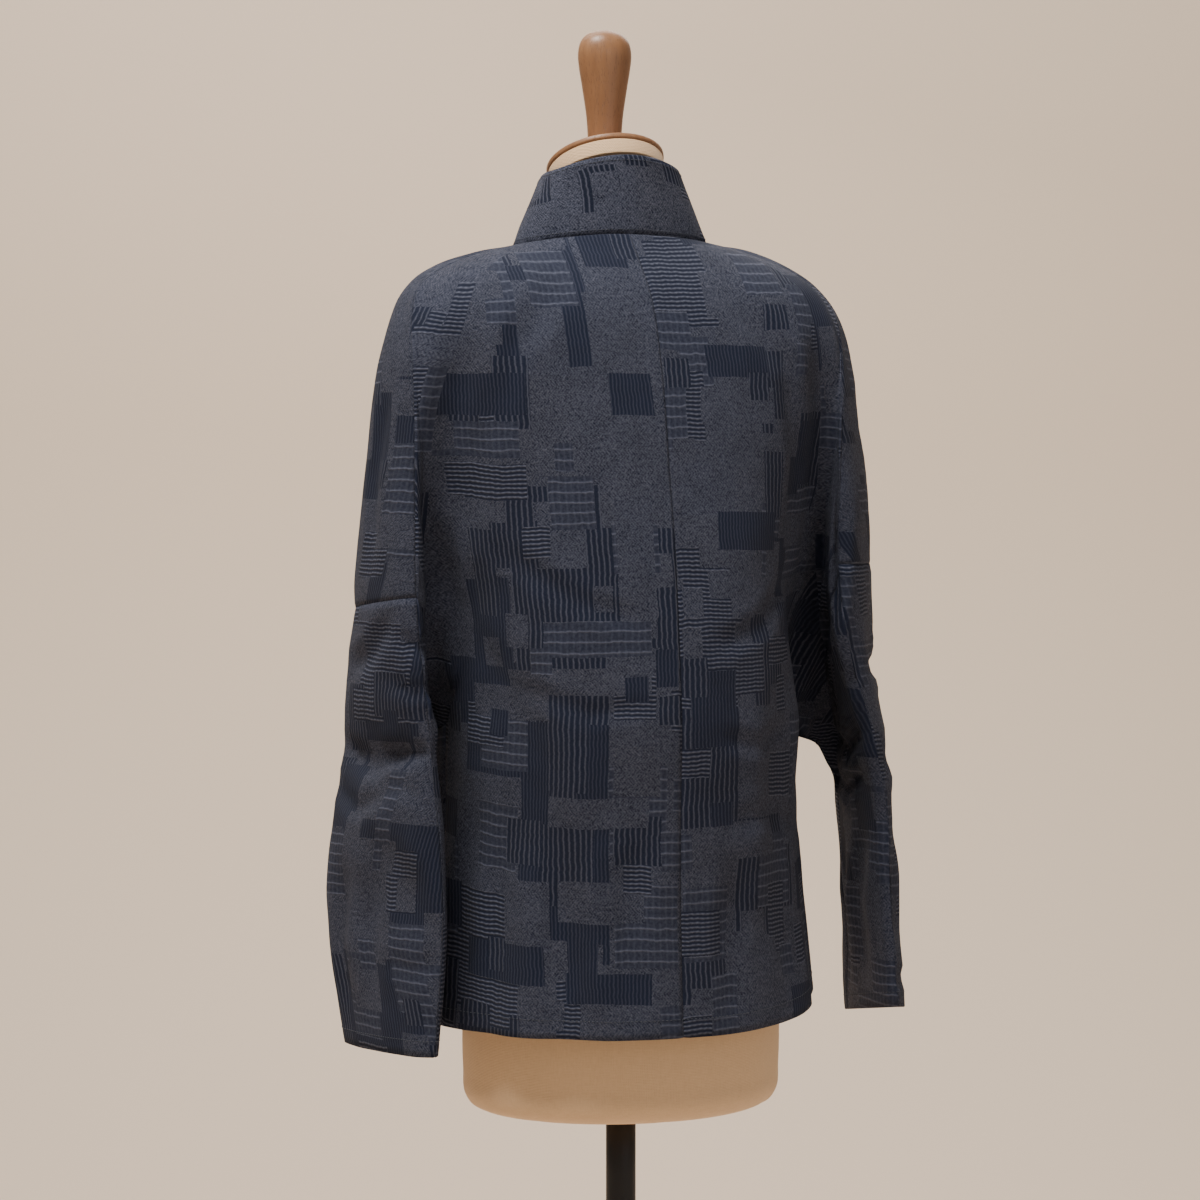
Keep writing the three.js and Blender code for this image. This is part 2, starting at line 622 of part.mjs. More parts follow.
// Turns a net into a closed wall: its outer face, a copy moved in by the wall's thickness, and a
// rim along every edge. Edges are drawn in by half a seam gap.
function wall(net, normals) {
  const cells = cellsOf(net);
  const live = new Set(cells.map(([i, j]) => `${i},${j}`));
  const has = (i, j) => live.has(`${i},${j}`);
  const outer = new Map();
  const used = new Map();
  for (const [i, j] of cells) {
    for (const [r, c] of [[i, j], [i, j + 1], [i + 1, j + 1], [i + 1, j]]) used.set(`${r},${c}`, [r, c]);
  }
  const list = [];
  const inner = new Map();
  const build = (r, c) => {
    const at = net.rows[r][c];
    const out = normals.get(key(at)).clone().normalize();
    const draw = point(0, 0, 0);
    const around = [has(r - 1, c - 1), has(r - 1, c), has(r, c), has(r, c - 1)];
    if (around.some((cell) => !cell)) {
      const pull = [
        [r, c + 1, around[1] || around[2]],
        [r, c - 1, around[0] || around[3]],
        [r + 1, c, around[2] || around[3]],
        [r - 1, c, around[0] || around[1]],
      ];
      const sides = [[0, 3], [1, 2], [0, 1], [2, 3]];
      const missing = sides.map(([one, other]) => !around[one] && !around[other]);
      const inward = around.filter((cell) => !cell).length === 1 ? [] : missing;
      inward.forEach((gone, k) => {
        const [pr, pc, ok] = pull[k];
        if (!gone || !ok || !net.rows[pr] || !net.rows[pr][pc]) return;
        draw.add(net.rows[pr][pc].clone().sub(at).setLength(net.gap ?? SEAM_GAP / 2));
      });
      if (!inward.length) {
        const k = around.findIndex((cell) => !cell);
        const [dr, dc] = [[1, 1], [1, -1], [-1, -1], [-1, 1]][k];
        const away = net.rows[r + dr] && net.rows[r + dr][c + dc];
        if (away) draw.add(away.clone().sub(at).setLength(SEAM_GAP / 2));
      }
    }
    list.push(at.clone().add(draw));
    outer.set(`${r},${c}`, list.length - 1);
    list.push(at.clone().add(draw).addScaledVector(out, -(net.thick ?? WALL)));
    inner.set(`${r},${c}`, list.length - 1);
  };
  for (const [r, c] of used.values()) build(r, c);
  const index = [];
  const triangle = (a, b, c) => (net.turned ? index.push(a, b, c) : index.push(a, c, b));
  const quad = (a, b, c, d) => {
    triangle(a, b, d);
    triangle(b, c, d);
  };
  for (const [i, j] of cells) {
    const corners = [[i, j], [i, j + 1], [i + 1, j + 1], [i + 1, j]].map(([r, c]) => `${r},${c}`);
    const o = corners.map((name) => outer.get(name));
    const n = corners.map((name) => inner.get(name));
    quad(o[0], o[1], o[2], o[3]);
    triangle(n[0], n[3], n[1]);
    triangle(n[1], n[3], n[2]);
    const beyond = [[i - 1, j], [i, j + 1], [i + 1, j], [i, j - 1]];
    // Both rims of a seam are split along the same diagonal, so that they stay a gap apart.
    beyond.forEach(([bi, bj], k) => {
      if (has(bi, bj)) return;
      const [p, q] = [k, (k + 1) % 4];
      if (k < 2) quad(o[q], o[p], n[p], n[q]);
      else quad(o[p], n[p], n[q], o[q]);
    });
  }
  const geometry = new THREE.BufferGeometry();
  geometry.setAttribute("position", new THREE.Float32BufferAttribute(list.flatMap((p) => p.toArray()), 3));
  geometry.setIndex(index);
  return geometry;
}

// A closed solid through rings of points from bottom to top, with flat ends.
function loft(rings) {
  const count = rings[0].length;
  const centre = (ring) => ring.reduce((sum, p) => sum.add(p), point(0, 0, 0)).divideScalar(count);
  const list = [centre(rings[0]), ...rings.flat(), centre(rings[rings.length - 1])];
  const index = [];
  const at = (i, j) => 1 + i * count + (j % count);
  for (let j = 0; j < count; j += 1) index.push(0, at(0, j + 1), at(0, j));
  for (let i = 0; i + 1 < rings.length; i += 1) {
    for (let j = 0; j < count; j += 1) {
      index.push(at(i, j), at(i, j + 1), at(i + 1, j + 1));
      index.push(at(i, j), at(i + 1, j + 1), at(i + 1, j));
    }
  }
  const last = rings.length - 1;
  for (let j = 0; j < count; j += 1) index.push(list.length - 1, at(last, j), at(last, j + 1));
  const geometry = new THREE.BufferGeometry();
  geometry.setAttribute("position", new THREE.Float32BufferAttribute(list.flatMap((p) => p.toArray()), 3));
  geometry.setIndex(index);
  return geometry;
}

const FORM_SIDES = 32;

// A ring of the form, turned the way round that makes a loft's faces point out.
function formRing(z, half, back, front, y, square = 1) {
  return Array.from({ length: FORM_SIDES }, (unused, j) => {
    const a = (-2 * Math.PI * j) / FORM_SIDES;
    const [s, c] = [Math.sin(a), Math.cos(a)];
    const power = c >= 0 ? lerp(1, square, 0.5) : square;
    const deep = c >= 0 ? back : front;
    return point(half * signed(s, power), y + deep * signed(c, power), z);
  });
}

// How far the chest reaches to the front beside the collar seam, as a depth in front of y = 0.
const EDGE_LINE = YOKE.map((row) => ({ z: row.edge[2], y: -row.edge[1] }));

// The torso of the form: its trunk from the table, its shoulders from the yoke's own rows.
function formTorso() {
  const rings = FORM.map((r) => formRing(r.z, r.half, r.back, r.front, r.y)).reverse();
  for (const row of [5, 4, 3, 2, 1].map((i) => yokeRow(i))) {
    const seam = yokePoint(row, "left");
    const other = yokePoint(row, "right");
    const half = Math.min(seam.x, -other.x);
    const drop = WALL + SHOULDER_CLEARANCE + (row > 1 ? 2 : 0);
    const z = Math.min(seam.z, other.z) - drop;
    const back = column(YOKE, "back", z + drop + 4);
    const y = Math.min(seam.y, other.y);
    const front = column(EDGE_LINE, "y", z - 6) - 8;
    const square = lerp(2, 1.1, row / 4);
    const narrow = row > 2.8 ? (row - 2.8) * 9 : 0;
    rings.push(formRing(z, half - 1 - narrow, back - y - 7, Math.max(front + y, 42), y, square));
  }
  rings.push(formRing(-15.6, 62, 56, 44, NECK.y));
  rings.push(formRing(-4, 51, 46, 42, NECK.y));
  rings.push(tiltedRing(NECK.baseRadius - 2, -NECK.capTall - SEAM_GAP));
  return loft(rings);
}

// A ring square to the neck, which leans forward, at a height along the neck's axis.
function tiltedRing(radius, along, sides = FORM_SIDES) {
  return Array.from({ length: sides }, (unused, j) => {
    const a = (-2 * Math.PI * j) / sides;
    const deep = radius * Math.cos(a);
    return point(
      radius * Math.sin(a),
      NECK.y + deep * Math.cos(NECK.tilt) - along * Math.sin(NECK.tilt),
      NECK.top + deep * Math.sin(NECK.tilt) + along * Math.cos(NECK.tilt),
    );
  });
}

// The cream cap on the neck and the wooden disc on it.
const neckCap = () => loft([
  tiltedRing(NECK.baseRadius - 1, -NECK.capTall),
  tiltedRing(NECK.capRadius, -NECK.capTall + 2),
  tiltedRing(NECK.capRadius, 0),
]);
const neckDisc = () => loft([
  tiltedRing(NECK.capRadius - 0.5, SEAM_GAP),
  tiltedRing(NECK.capRadius + 0.8, 1.5),
  tiltedRing(NECK.capRadius + 0.8, NECK.discTall - 1),
  tiltedRing(NECK.capRadius - 1, NECK.discTall),
]);

// The turned handle, upright on the leaning disc: its foot is cut to the disc's slope.
function handle() {
  const sides = 24;
  const foot = tiltedRing(HANDLE[0].radius, NECK.discTall + SEAM_GAP, sides);
  const lean = NECK.discTall + SEAM_GAP;
  const y = NECK.y - lean * Math.sin(NECK.tilt);
  const base = NECK.top + lean * Math.cos(NECK.tilt);
  const rings = HANDLE.slice(1).map((r) =>
    Array.from({ length: sides }, (unused, j) => {
      const a = (-2 * Math.PI * j) / sides;
      return point(r.radius * Math.sin(a), y + r.radius * 0.8 * Math.cos(a), base + r.z);
    }),
  );
  return loft([foot, ...rings]);
}

const material = (color, roughness, metalness = 0) =>
  new THREE.MeshStandardMaterial({ color, roughness, metalness });
const CLOTH = material("#3d3f49", 0.85);
const COLLAR_CLOTH = material("#2e3442", 0.8);
const CREAM = material("#e2ccad", 0.9);
const WOOD = material("#99704a", 0.45);
const METAL = material("#2b2b2e", 0.5, 0.6);

const model = new THREE.Group();

function add(name, geometry, finish, z = NAPE_HEIGHT) {
  const mesh = new THREE.Mesh(geometry, finish);
  mesh.name = name;
  mesh.position.z = z;
  model.add(mesh);
}

const nets = {
  back_left: backNet("left"),
  back_right: backNet("right"),
  front_left: frontNet("left"),
  front_right: frontNet("right"),
};
for (const side of ["left", "right"]) {
  const backRow = nets[`back_${side}`].rows[ARM_END].slice(CELLS.back + CELLS.web);
  const frontRow = nets[`front_${side}`].rows[ARM_END].slice(FRONT_CELLS[side] + CELLS.web);
  nets[`sleeve_back_${side}`] = lowerSleeveNet(side, backRow, backTurns(UNDERARM_TURN));
  nets[`sleeve_front_${side}`] = lowerSleeveNet(side, frontRow, frontTurns(UNDERARM_TURN));
}
nets.collar = collarNet();
for (const name of ["back_left", "front_right", "sleeve_front_right", "sleeve_back_left"]) {
  nets[name].turned = true;
}

const normals = sharedNormals(Object.values(nets));
for (const [name, net] of Object.entries(nets)) {
  add(name, wall(net, normals), name === "collar" ? COLLAR_CLOTH : CLOTH);
}

// The ties that close the wrap at the wearer's right side: a small knot and two hanging tails.
function tieTail({ shift, drift, length }) {
  const half = TIE.width / 2 / FOLD_RADIUS;
  const rows = Array.from({ length: TAIL_ROWS + 1 }, (unused, i) => {
    const share = i / TAIL_ROWS;
    const middle = TIE.turn + shift + drift * share;
    const z = TIE.z - TIE.drop - length * share;
    return [-half, half].map((off) => bodyPoint(z, middle + off, -TIE.lift));
  });
  const net = { rows, open: () => false, thick: TIE.thick, turned: true };
  return wall(net, sharedNormals([net]));
}

function tieKnot() {
  const geometry = new THREE.SphereGeometry(TIE.knot, 14, 10);
  geometry.scale(0.75, 1.1, 0.85);
  const seat = bodyPoint(TIE.z, TIE.turn, -TIE.seat);
  geometry.translate(seat.x, seat.y, seat.z);
  return geometry;
}

function stand() {
  const { baseRadius, baseTall, collarRadius, collarTall, poleRadius } = STAND;
  const outline = [
    [0, 0],
    [baseRadius, 0],
    [baseRadius, baseTall * 0.6],
    [baseRadius - baseTall * 0.4, baseTall],
    [collarRadius, baseTall + 4],
    [collarRadius, baseTall + collarTall],
    [poleRadius, baseTall + collarTall + 4],
    [poleRadius, NAPE_HEIGHT + FORM[FORM.length - 1].z - SEAM_GAP],
    [0, NAPE_HEIGHT + FORM[FORM.length - 1].z - SEAM_GAP],
  ].map(([r, z]) => new THREE.Vector2(r, z));
  return new THREE.LatheGeometry(outline, 40).rotateX(Math.PI / 2);
}

add("tie_knot", tieKnot(), COLLAR_CLOTH);
add("tie_tail_front", tieTail(TAILS.front), COLLAR_CLOTH);
add("tie_tail_back", tieTail(TAILS.back), COLLAR_CLOTH);
add("stand", stand(), METAL, 0);
add("form_torso", formTorso(), CREAM);
add("neck_cap", neckCap(), CREAM);
add("neck_disc", neckDisc(), WOOD);
add("handle", handle(), WOOD);

export default model;
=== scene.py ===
# %% [markdown]
# # A wrap-front jacket on a dress form
# The real object is a jacket of heavy woven cloth, cut in wide pieces with no armhole seam, and a
# padded form that carries it. We model the cloth as thin shells that follow the cut, add the
# creases one by one, and paint the weave with shader nodes. First the imported model is loaded, since
# every piece has to lie where its solid does.

# %% Load the frame
import math

import bmesh
import bpy
import numpy as np
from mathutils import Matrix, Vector, noise


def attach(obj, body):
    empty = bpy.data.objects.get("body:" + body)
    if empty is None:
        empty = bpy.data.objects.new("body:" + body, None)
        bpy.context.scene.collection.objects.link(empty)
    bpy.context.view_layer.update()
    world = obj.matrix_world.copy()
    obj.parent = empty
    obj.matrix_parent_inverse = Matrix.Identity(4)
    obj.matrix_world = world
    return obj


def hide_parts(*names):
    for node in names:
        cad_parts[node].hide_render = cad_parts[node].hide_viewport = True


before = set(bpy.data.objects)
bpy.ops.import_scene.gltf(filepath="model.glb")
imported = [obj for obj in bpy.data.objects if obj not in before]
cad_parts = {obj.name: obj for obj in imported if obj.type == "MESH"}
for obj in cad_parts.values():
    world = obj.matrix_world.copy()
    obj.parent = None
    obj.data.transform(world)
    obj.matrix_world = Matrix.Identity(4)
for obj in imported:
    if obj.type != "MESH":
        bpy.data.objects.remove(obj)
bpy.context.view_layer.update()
MM = 0.001
NAPE_HEIGHT = 1425  # heights below are in millimetres from the nape, so most are negative
print("solids in the frame:", len(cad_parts))

# %% [markdown]
# ## Camera, floor and light
# A jacket is best seen from a little behind its shoulder, with a long lens that keeps the
# verticals upright. One curved sheet serves as floor and wall, so that no line cuts the
# background, and large soft lamps give the cloth gentle shade without hard shadows.

# %% Camera
VIEW_TURN = math.radians(160)
CAMERA_DISTANCE = 2.7
CAMERA_SIDE = -0.0168  # the jacket hangs a little off the form's middle
CAMERA_HEIGHT = 1.254
FRAME_SIZE, FOCAL, EYE_LEVEL = 1200, 3375, 150  # in pixels, with eye level below the frame's middle
SENSOR = 36
PITCH = math.atan(EYE_LEVEL / FOCAL)

camera_data = bpy.data.cameras.new("camera")
camera_data.lens = SENSOR * FOCAL / FRAME_SIZE
camera = bpy.data.objects.new("camera", camera_data)
bpy.context.scene.collection.objects.link(camera)
toward = Vector((math.sin(VIEW_TURN), -math.cos(VIEW_TURN), 0))
rightward = Vector((math.cos(VIEW_TURN), math.sin(VIEW_TURN), 0))
camera.location = toward * CAMERA_DISTANCE + rightward * CAMERA_SIDE + Vector((0, 0, CAMERA_HEIGHT))
aim = -toward * math.cos(PITCH) - Vector((0, 0, math.sin(PITCH)))
camera.rotation_euler = aim.to_track_quat("-Z", "Y").to_euler()
bpy.context.scene.camera = camera
print("camera at", [round(c, 3) for c in camera.location])


# %% Floor and backdrop in one sweep
def link(name, mesh):
    """Puts a mesh in the scene under that name."""
    thing = bpy.data.objects.new(name, mesh)
    bpy.context.scene.collection.objects.link(thing)
    return thing


def mesh_of(name, vertices, faces, smooth=True):
    """A mesh from lists of points in metres and of faces."""
    mesh = bpy.data.meshes.new(name)
    mesh.from_pydata([tuple(v) for v in vertices], [], [tuple(f) for f in faces])
    mesh.polygons.foreach_set("use_smooth", [smooth] * len(mesh.polygons))
    mesh.update()
    return mesh


SWEEP = {"near": -6.0, "far": 2.2, "bend": 1.3, "top": 5.0, "half": 7.0, "steps": 24}


def sweep_profile():
    """Distance away from the camera and height, from the floor's near end up the wall."""
    line = [(SWEEP["near"], 0.0)]
    for i in range(SWEEP["steps"] + 1):
        a = i / SWEEP["steps"] * math.pi / 2
        away = SWEEP["far"] + SWEEP["bend"] * math.sin(a)
        line.append((away, SWEEP["bend"] * (1 - math.cos(a))))
    line.append((SWEEP["far"] + SWEEP["bend"], SWEEP["top"]))
    return line


sweep_line = sweep_profile()
sweep_points = [
    -toward * away + rightward * side + Vector((0, 0, height))
    for away, height in sweep_line
    for side in (-SWEEP["half"], SWEEP["half"])
]
sweep_faces = [(2 * i, 2 * i + 1, 2 * i + 3, 2 * i + 2) for i in range(len(sweep_line) - 1)]
backdrop = link("backdrop", mesh_of("backdrop", sweep_points, sweep_faces))
print("sweep faces:", len(sweep_faces))

# %% Lamps
LAMPS = [
    # name, away from the camera side, to the right, height, size, power, colour
    ("key", 1.1, -0.8, 4.2, 1.4, 168, (1.0, 0.975, 0.94)),
    ("fill", 2.4, 2.2, 1.6, 2.4, 10, (0.94, 0.97, 1.0)),
    ("front", -2.2, 0.6, 3.2, 2.2, 38, (1.0, 0.98, 0.96)),
    ("wall", -1.2, -0.8, 3.6, 1.8, 66, (1.0, 0.965, 0.93)),
]
WALL_SPOT = -toward * 2.5 + Vector((0, 0, 2.7))
CHEST_SPOT = Vector((0, 0, 1.1))
for name, near, side, height, size, power, colour in LAMPS:
    data = bpy.data.lights.new(name, "AREA")
    data.shape = "DISK"
    data.size = size
    data.energy = power
    data.color = colour
    lamp = bpy.data.objects.new(name, data)
    lamp.location = toward * near + rightward * side + Vector((0, 0, height))
    aimed = WALL_SPOT if name == "wall" else CHEST_SPOT
    lamp.rotation_euler = (aimed - lamp.location).to_track_quat("-Z", "Y").to_euler()
    bpy.context.scene.collection.objects.link(lamp)
world = bpy.data.worlds.new("room")
world.use_nodes = True
background = world.node_tree.nodes["Background"]
background.inputs["Color"].default_value = (0.82, 0.79, 0.76, 1)
background.inputs["Strength"].default_value = 0.28
bpy.context.scene.world = world
print("lamps:", [row[0] for row in LAMPS])

# %% [markdown]
# ## The jacket's sizes
# A garment's shape comes from a few levels measured on it, as a tailor measures chest, waist and
# hem. Short tables hold them, and smooth curves run between their rows. Another way would be to
# sculpt the cloth, but then the pieces would no longer meet at their seams. Sizes are in
# millimetres, the wearer faces -Y, and the wearer's left is +X.

# %% Tables of the body, the yoke and the sleeves
def table(columns, rows):
    """Rows of numbers as dictionaries with the columns' names."""
    return [dict(zip(columns.split(), row)) for row in rows]


BODY = table("z left right back front", [
    (-100, 186, 176, 92, 104), (-131, 184, 170, 98, 111), (-190, 168, 150, 109, 120),
    (-230, 155, 136, 119, 126), (-285, 145, 127, 127, 130), (-330, 141, 130, 132, 129),
    (-383, 139, 137, 136, 127), (-450, 139, 138, 133, 126), (-530, 145, 147, 134, 129),
    (-625, 155, 159, 140, 135),
])
# Rows from the neck seam to the top of the armholes. left and right are places on the shoulder
# seam, edge is one on the collar seam, and under is how far the under front lies inside.
YOKE = table("z back left right edge under", [
    (0, 21, (80, -33, -7), (-84, -33, -4), (75, -57, -14), 0),
    (-14, 34, (106, -24, -13), (-110, -25, -10), (65, -74, -32), 1),
    (-32, 53, (134, -12, -23), (-137, -14, -21), (55, -85, -50), 4),
    (-54, 71, (159, 1, -35), (-158, -3, -34), (44, -93, -70), 7),
    (-78, 83, (177, 17, -51), (-173, 13, -51), (32, -100, -92), 8),
    (-104, 91, (185, 33, -74), (-175, 32, -74), (19, -105, -115), 8),
    (-131, 98, (187, 44, -100), (-171, 47, -100), (4, -110.9, -138), 8),
])
SLEEVE = {
    "left": table("z creaseX creaseY frontX frontY thick", [
        (-100, 187, 44, 195, -28, 38), (-131, 187, 50, 196, -32, 35), (-220, 188, 53, 200, -38, 34),
        (-291, 188, 56, 205, -46, 34), (-400, 178, 62, 210, -60, 38), (-525, 171, 70, 222, -74, 38),
        (-645, 180, 75, 211, -62, 30),
    ]),
    "right": table("z creaseX creaseY frontX frontY thick", [
        (-100, -171, 47, -198, -36, 42), (-134, -168, 56, -203, -46, 44),
        (-260, -165, 60, -222, -60, 46), (-325, -172, 60, -227, -70, 44),
        (-400, -196, 57, -231, -80, 38), (-460, -210, 53, -233, -83, 34),
        (-530, -214, 54, -234, -82, 34), (-640, -220, 58, -236, -74, 32),
    ]),
}
ARM = {
    "left": dict(seamCrease=-284, seamFront=-297, pit=-446, cuffCrease=-636, cuffFront=-643),
    "right": dict(seamCrease=-262, seamFront=-266, pit=-462, cuffCrease=-622, cuffFront=-645),
}
PIT_Z = -383
UNDERARM_SAG = {"left": 0.42, "right": 0.3}
UNDERARM_TURN = 1.36 * math.pi
HEM_Z = -621
HEM_RISE = 19
SLIT_Z = -566
SLIT_TURN = 0.12
print("levels:", len(BODY), "yoke rows:", len(YOKE))

# %% Folds and puckers that the solids have too
FOLDS = table("turn top end wide deep drift", [
    (0.5, -420, -625, 26, 5, 0.1), (-0.42, -470, -625, 30, 4, -0.06),
    (1.02, -400, -620, 24, 6, 0.06), (-1.05, -400, -622, 22, 5, -0.08),
    (0.16, -160, -330, 34, 3, 0.16), (2.2, -400, -625, 28, 4, 0.08), (3.3, -430, -625, 30, 4, -0.1),
])
FOLD_RADIUS = 135
PUCKERS = {
    "left": table("z slope turn span wide deep", [
        (-304, 10, 0.55, 0.6, 9, 4), (-415, -26, 0.5, 0.5, 13, 9), (-520, 40, 0.6, 0.5, 16, 4),
    ]),
    "right": table("z slope turn span wide deep", [
        (-360, 30, 0.5, 0.5, 24, 3), (-470, -34, 0.4, 0.5, 24, 3), (-560, 28, 0.6, 0.5, 24, 3),
    ]),
}
CELLS = {"yoke": 8, "arm": 8, "skirt": 8, "back": 10, "web": 3, "sleeve": 6, "frontSleeve": 9, "lower": 9}
FRONT_CELLS = {"left": 16, "right": 13}
ARM_END = CELLS["yoke"] + CELLS["arm"]
QUARTER, HALF, WHOLE = math.pi / 2, math.pi, 2 * math.pi
SIGN = {"left": 1, "right": -1}
BODY_POWER = 0.87
UNDERLAP = 8
REACH = {"left": 1.38, "right": 0.7}
WRAP_TOP, WRAP_END, WRAP_FOOT = -138, -470, -448
SHOULDER_RISE = {"left": 3, "right": 10}
ARM_SWELL = {"left": 17, "right": 27}
print("folds:", len(FOLDS))


# %% Small helpers for curves
def lerp(a, b, t):
    return a + (b - a) * t


def clamp01(t):
    return min(1.0, max(0.0, t))


def ease(t):
    """A smooth step from 0 to 1."""
    return clamp01(t) ** 2 * (3 - 2 * clamp01(t))


def xyz(x, y, z):
    return np.array((x, y, z), float)


def unwrap(turn):
    """The same turn, between minus and plus half a circle."""
    return math.atan2(math.sin(turn), math.cos(turn))


def signed(value, power):
    return math.copysign(abs(value) ** power, value)


def column(table, name, z):
    """A smooth curve through one column of a table whose rows go down in z."""
    last = len(table) - 1
    below = next((k for k, row in enumerate(table) if row["z"] <= z), last)
    i = min(max(below - 1, 0), last - 1)

    def slope(k):
        a, b = max(k - 1, 0), min(k + 1, last)
        return (table[b][name] - table[a][name]) / (table[b]["z"] - table[a]["z"])

    p, q = table[i], table[i + 1]
    gap = q["z"] - p["z"]
    t = clamp01((z - p["z"]) / gap)
    s = 1 - t
    ends = p[name] * (1 + 2 * t) * s * s + q[name] * (3 - 2 * t) * t * t
    return ends + gap * t * s * (slope(i) * s - slope(i + 1) * t)


def along_rows(rows, row, read):
    """A smooth value part of the way down a list of rows."""
    last = len(rows) - 1
    i = min(int(row), last - 1)
    a, b, c, d = (read(rows[min(max(k, 0), last)]) for k in (i - 1, i, i + 1, i + 2))
    t = row - i
    m = (c - a) / (1 if i == 0 else 2)
    n = (d - b) / (1 if i == last - 1 else 2)
    return b * (1 + 2 * t) * (1 - t) ** 2 + c * (3 - 2 * t) * t * t + t * (1 - t) * (m * (1 - t) - n * t)


def yoke_row(i):
    return i / CELLS["yoke"] * (len(YOKE) - 1)


def yoke_value(row, name):
    return along_rows(YOKE, row, lambda r: np.array(r[name], float))


print("half way down the yoke:", yoke_value(3, "left").round(1))


# %% The two basic surfaces: the body's wall and a sleeve's tube
def body_point(z, turn, inset=0.0):
    """A point on the body's wall, turned from the centre back towards the wearer's left."""
    s, c = math.sin(turn), math.cos(turn)
    half = column(BODY, "left" if s >= 0 else "right", z) - inset
    deep = column(BODY, "back" if c >= 0 else "front", z) - inset
    dent = 0.0
    for fold in FOLDS:
        along = (fold["top"] - z) / (fold["top"] - fold["end"])
        middle = fold["turn"] + fold["drift"] * along
        off = unwrap(turn - middle) * FOLD_RADIUS / fold["wide"]
        dent += fold["deep"] * ease(along * 2.2) * math.exp(-off * off)
    return xyz((half - dent) * signed(s, BODY_POWER), (deep - dent) * signed(c, BODY_POWER), z)


def sleeve_point(side, z, turn):
    """A point on a sleeve's tube: turn 0 is the crease at the back, pi is the front edge."""
    table = SLEEVE[side]
    crease = xyz(column(table, "creaseX", z), column(table, "creaseY", z), z)
    front = xyz(column(table, "frontX", z), column(table, "frontY", z), z)
    across = front - crease
    out = xyz(-across[1], across[0], 0)
    out /= np.linalg.norm(out)
    if out[0] * crease[0] < 0:
        out = -out
    bulge = column(table, "thick", z) / 2 * math.sin(turn)
    for pucker in PUCKERS[side]:
        reach = turn / math.pi - pucker["turn"]
        off = (z - pucker["z"] - pucker["slope"] * reach) / pucker["wide"]
        dip = math.exp(-off * off - (reach / pucker["span"]) ** 2)
        bulge -= pucker["deep"] * dip * ease(4 * math.sin(turn))
    return crease + across * (1 - math.cos(turn)) / 2 + out * bulge


def evenly(run, count):
    """count + 1 points at even distances along a run of points."""
    run = np.asarray(run, float)
    reach = np.concatenate(([0], np.cumsum(np.linalg.norm(np.diff(run, axis=0), axis=1))))
    want = np.linspace(0, reach[-1], count + 1)
    return np.stack([np.interp(want, reach, run[:, k]) for k in range(3)], axis=1)


STEPS = [i / 40 for i in range(41)]


def yoke_arc(start, seam, square):
    """One quarter of the yoke at a row, from its centre line to the shoulder seam."""
    line = []
    for t in STEPS:
        x = lerp(start[0], seam[0], math.sin(t * QUARTER) ** square)
        y = lerp(seam[1], start[1], math.cos(t * QUARTER) ** square)
        line.append((x, y, lerp(start[2], seam[2], ease(t))))
    return line


def in_stretches(run, cells, shares):
    """Cuts a run in three stretches with fixed numbers of cells: body, web and sleeve."""
    count = 3 * (len(STEPS) - 1)
    fine = evenly(run, count)
    cuts = [round(count * share) for share in (0, shares[0], shares[0] + shares[1], 1)]
    parts = [evenly(fine[cuts[i]:cuts[i + 1] + 1], size) for i, size in enumerate(cells)]
    return np.concatenate([parts[0], parts[1][1:], parts[2][1:]])


def bezier(controls):
    """Points of a Bezier curve at STEPS, by repeated mixing."""
    line = []
    for t in STEPS:
        points = list(controls)
        while len(points) > 1:
            points = [lerp(points[k], points[k + 1], t) for k in range(len(points) - 1)]
        line.append(points[0])
    return line


def underarm(side, cells):
    """The underarm seam, a short hanging curve from the body's side to the sleeve."""
    start = body_point(PIT_Z, SIGN[side] * QUARTER)
    end = sleeve_point(side, ARM[side]["pit"], UNDERARM_TURN)
    sag = lerp(start, end, 0.75)
    sag[2] = lerp(start[2], end[2], UNDERARM_SAG[side])
    return evenly(bezier([start, sag, end]), cells)


def unit(v):
    return v / np.linalg.norm(v)


def web(start, before, end, after, slack, cells):
    """The web of cloth between the body and the sleeve at one row, with a valley in it."""
    gap = np.linalg.norm(end - start) * slack
    controls = [start, start + unit(start - before) * gap, end + unit(end - after) * gap, end]
    return evenly(bezier(controls), cells)


print("left pit:", underarm("left", 3)[-1].round(1))

# %% [markdown]
# ## Nets
# A net is a grid of points, in rows from the neck to the hem and in columns round the wearer. Each
# cut piece has one: the half backs and the fronts carry their upper sleeves with them, as the
# cloth does, and the lower sleeves are joined on below a seam.


# %% Half backs
def arm_row(side, share):
    """The heights of body, crease, front edge and underarm in a row of the armhole."""
    arm, top = ARM[side], YOKE[-1]
    return {
        "body": lerp(top["z"], PIT_Z, share),
        "crease": lerp(top[side][2], arm["seamCrease"], share),
        "front": lerp(top[side][2] - 8, arm["seamFront"], share),
        "pit": lerp(top["z"] + 14, arm["pit"], share ** 1.1),
    }


def turns_between(start, end, cells):
    return [lerp(start, end, j / cells) for j in range(cells + 1)]


def back_turns(land):
    return turns_between(land, WHOLE, CELLS["sleeve"])


def front_turns(land):
    to_edge = turns_between(land, HALF, CELLS["frontSleeve"] - CELLS["sleeve"])
    return to_edge[:-1] + turns_between(HALF, 0, CELLS["sleeve"])


def hem_at(turn):
    return HEM_Z + HEM_RISE * max(0.0, -math.sin(turn)) ** 3


def slit_turn(z):
    """How far a side edge has turned away from its seam in the slit."""
    return SLIT_TURN * clamp01((SLIT_Z - z) / (SLIT_Z - HEM_Z))


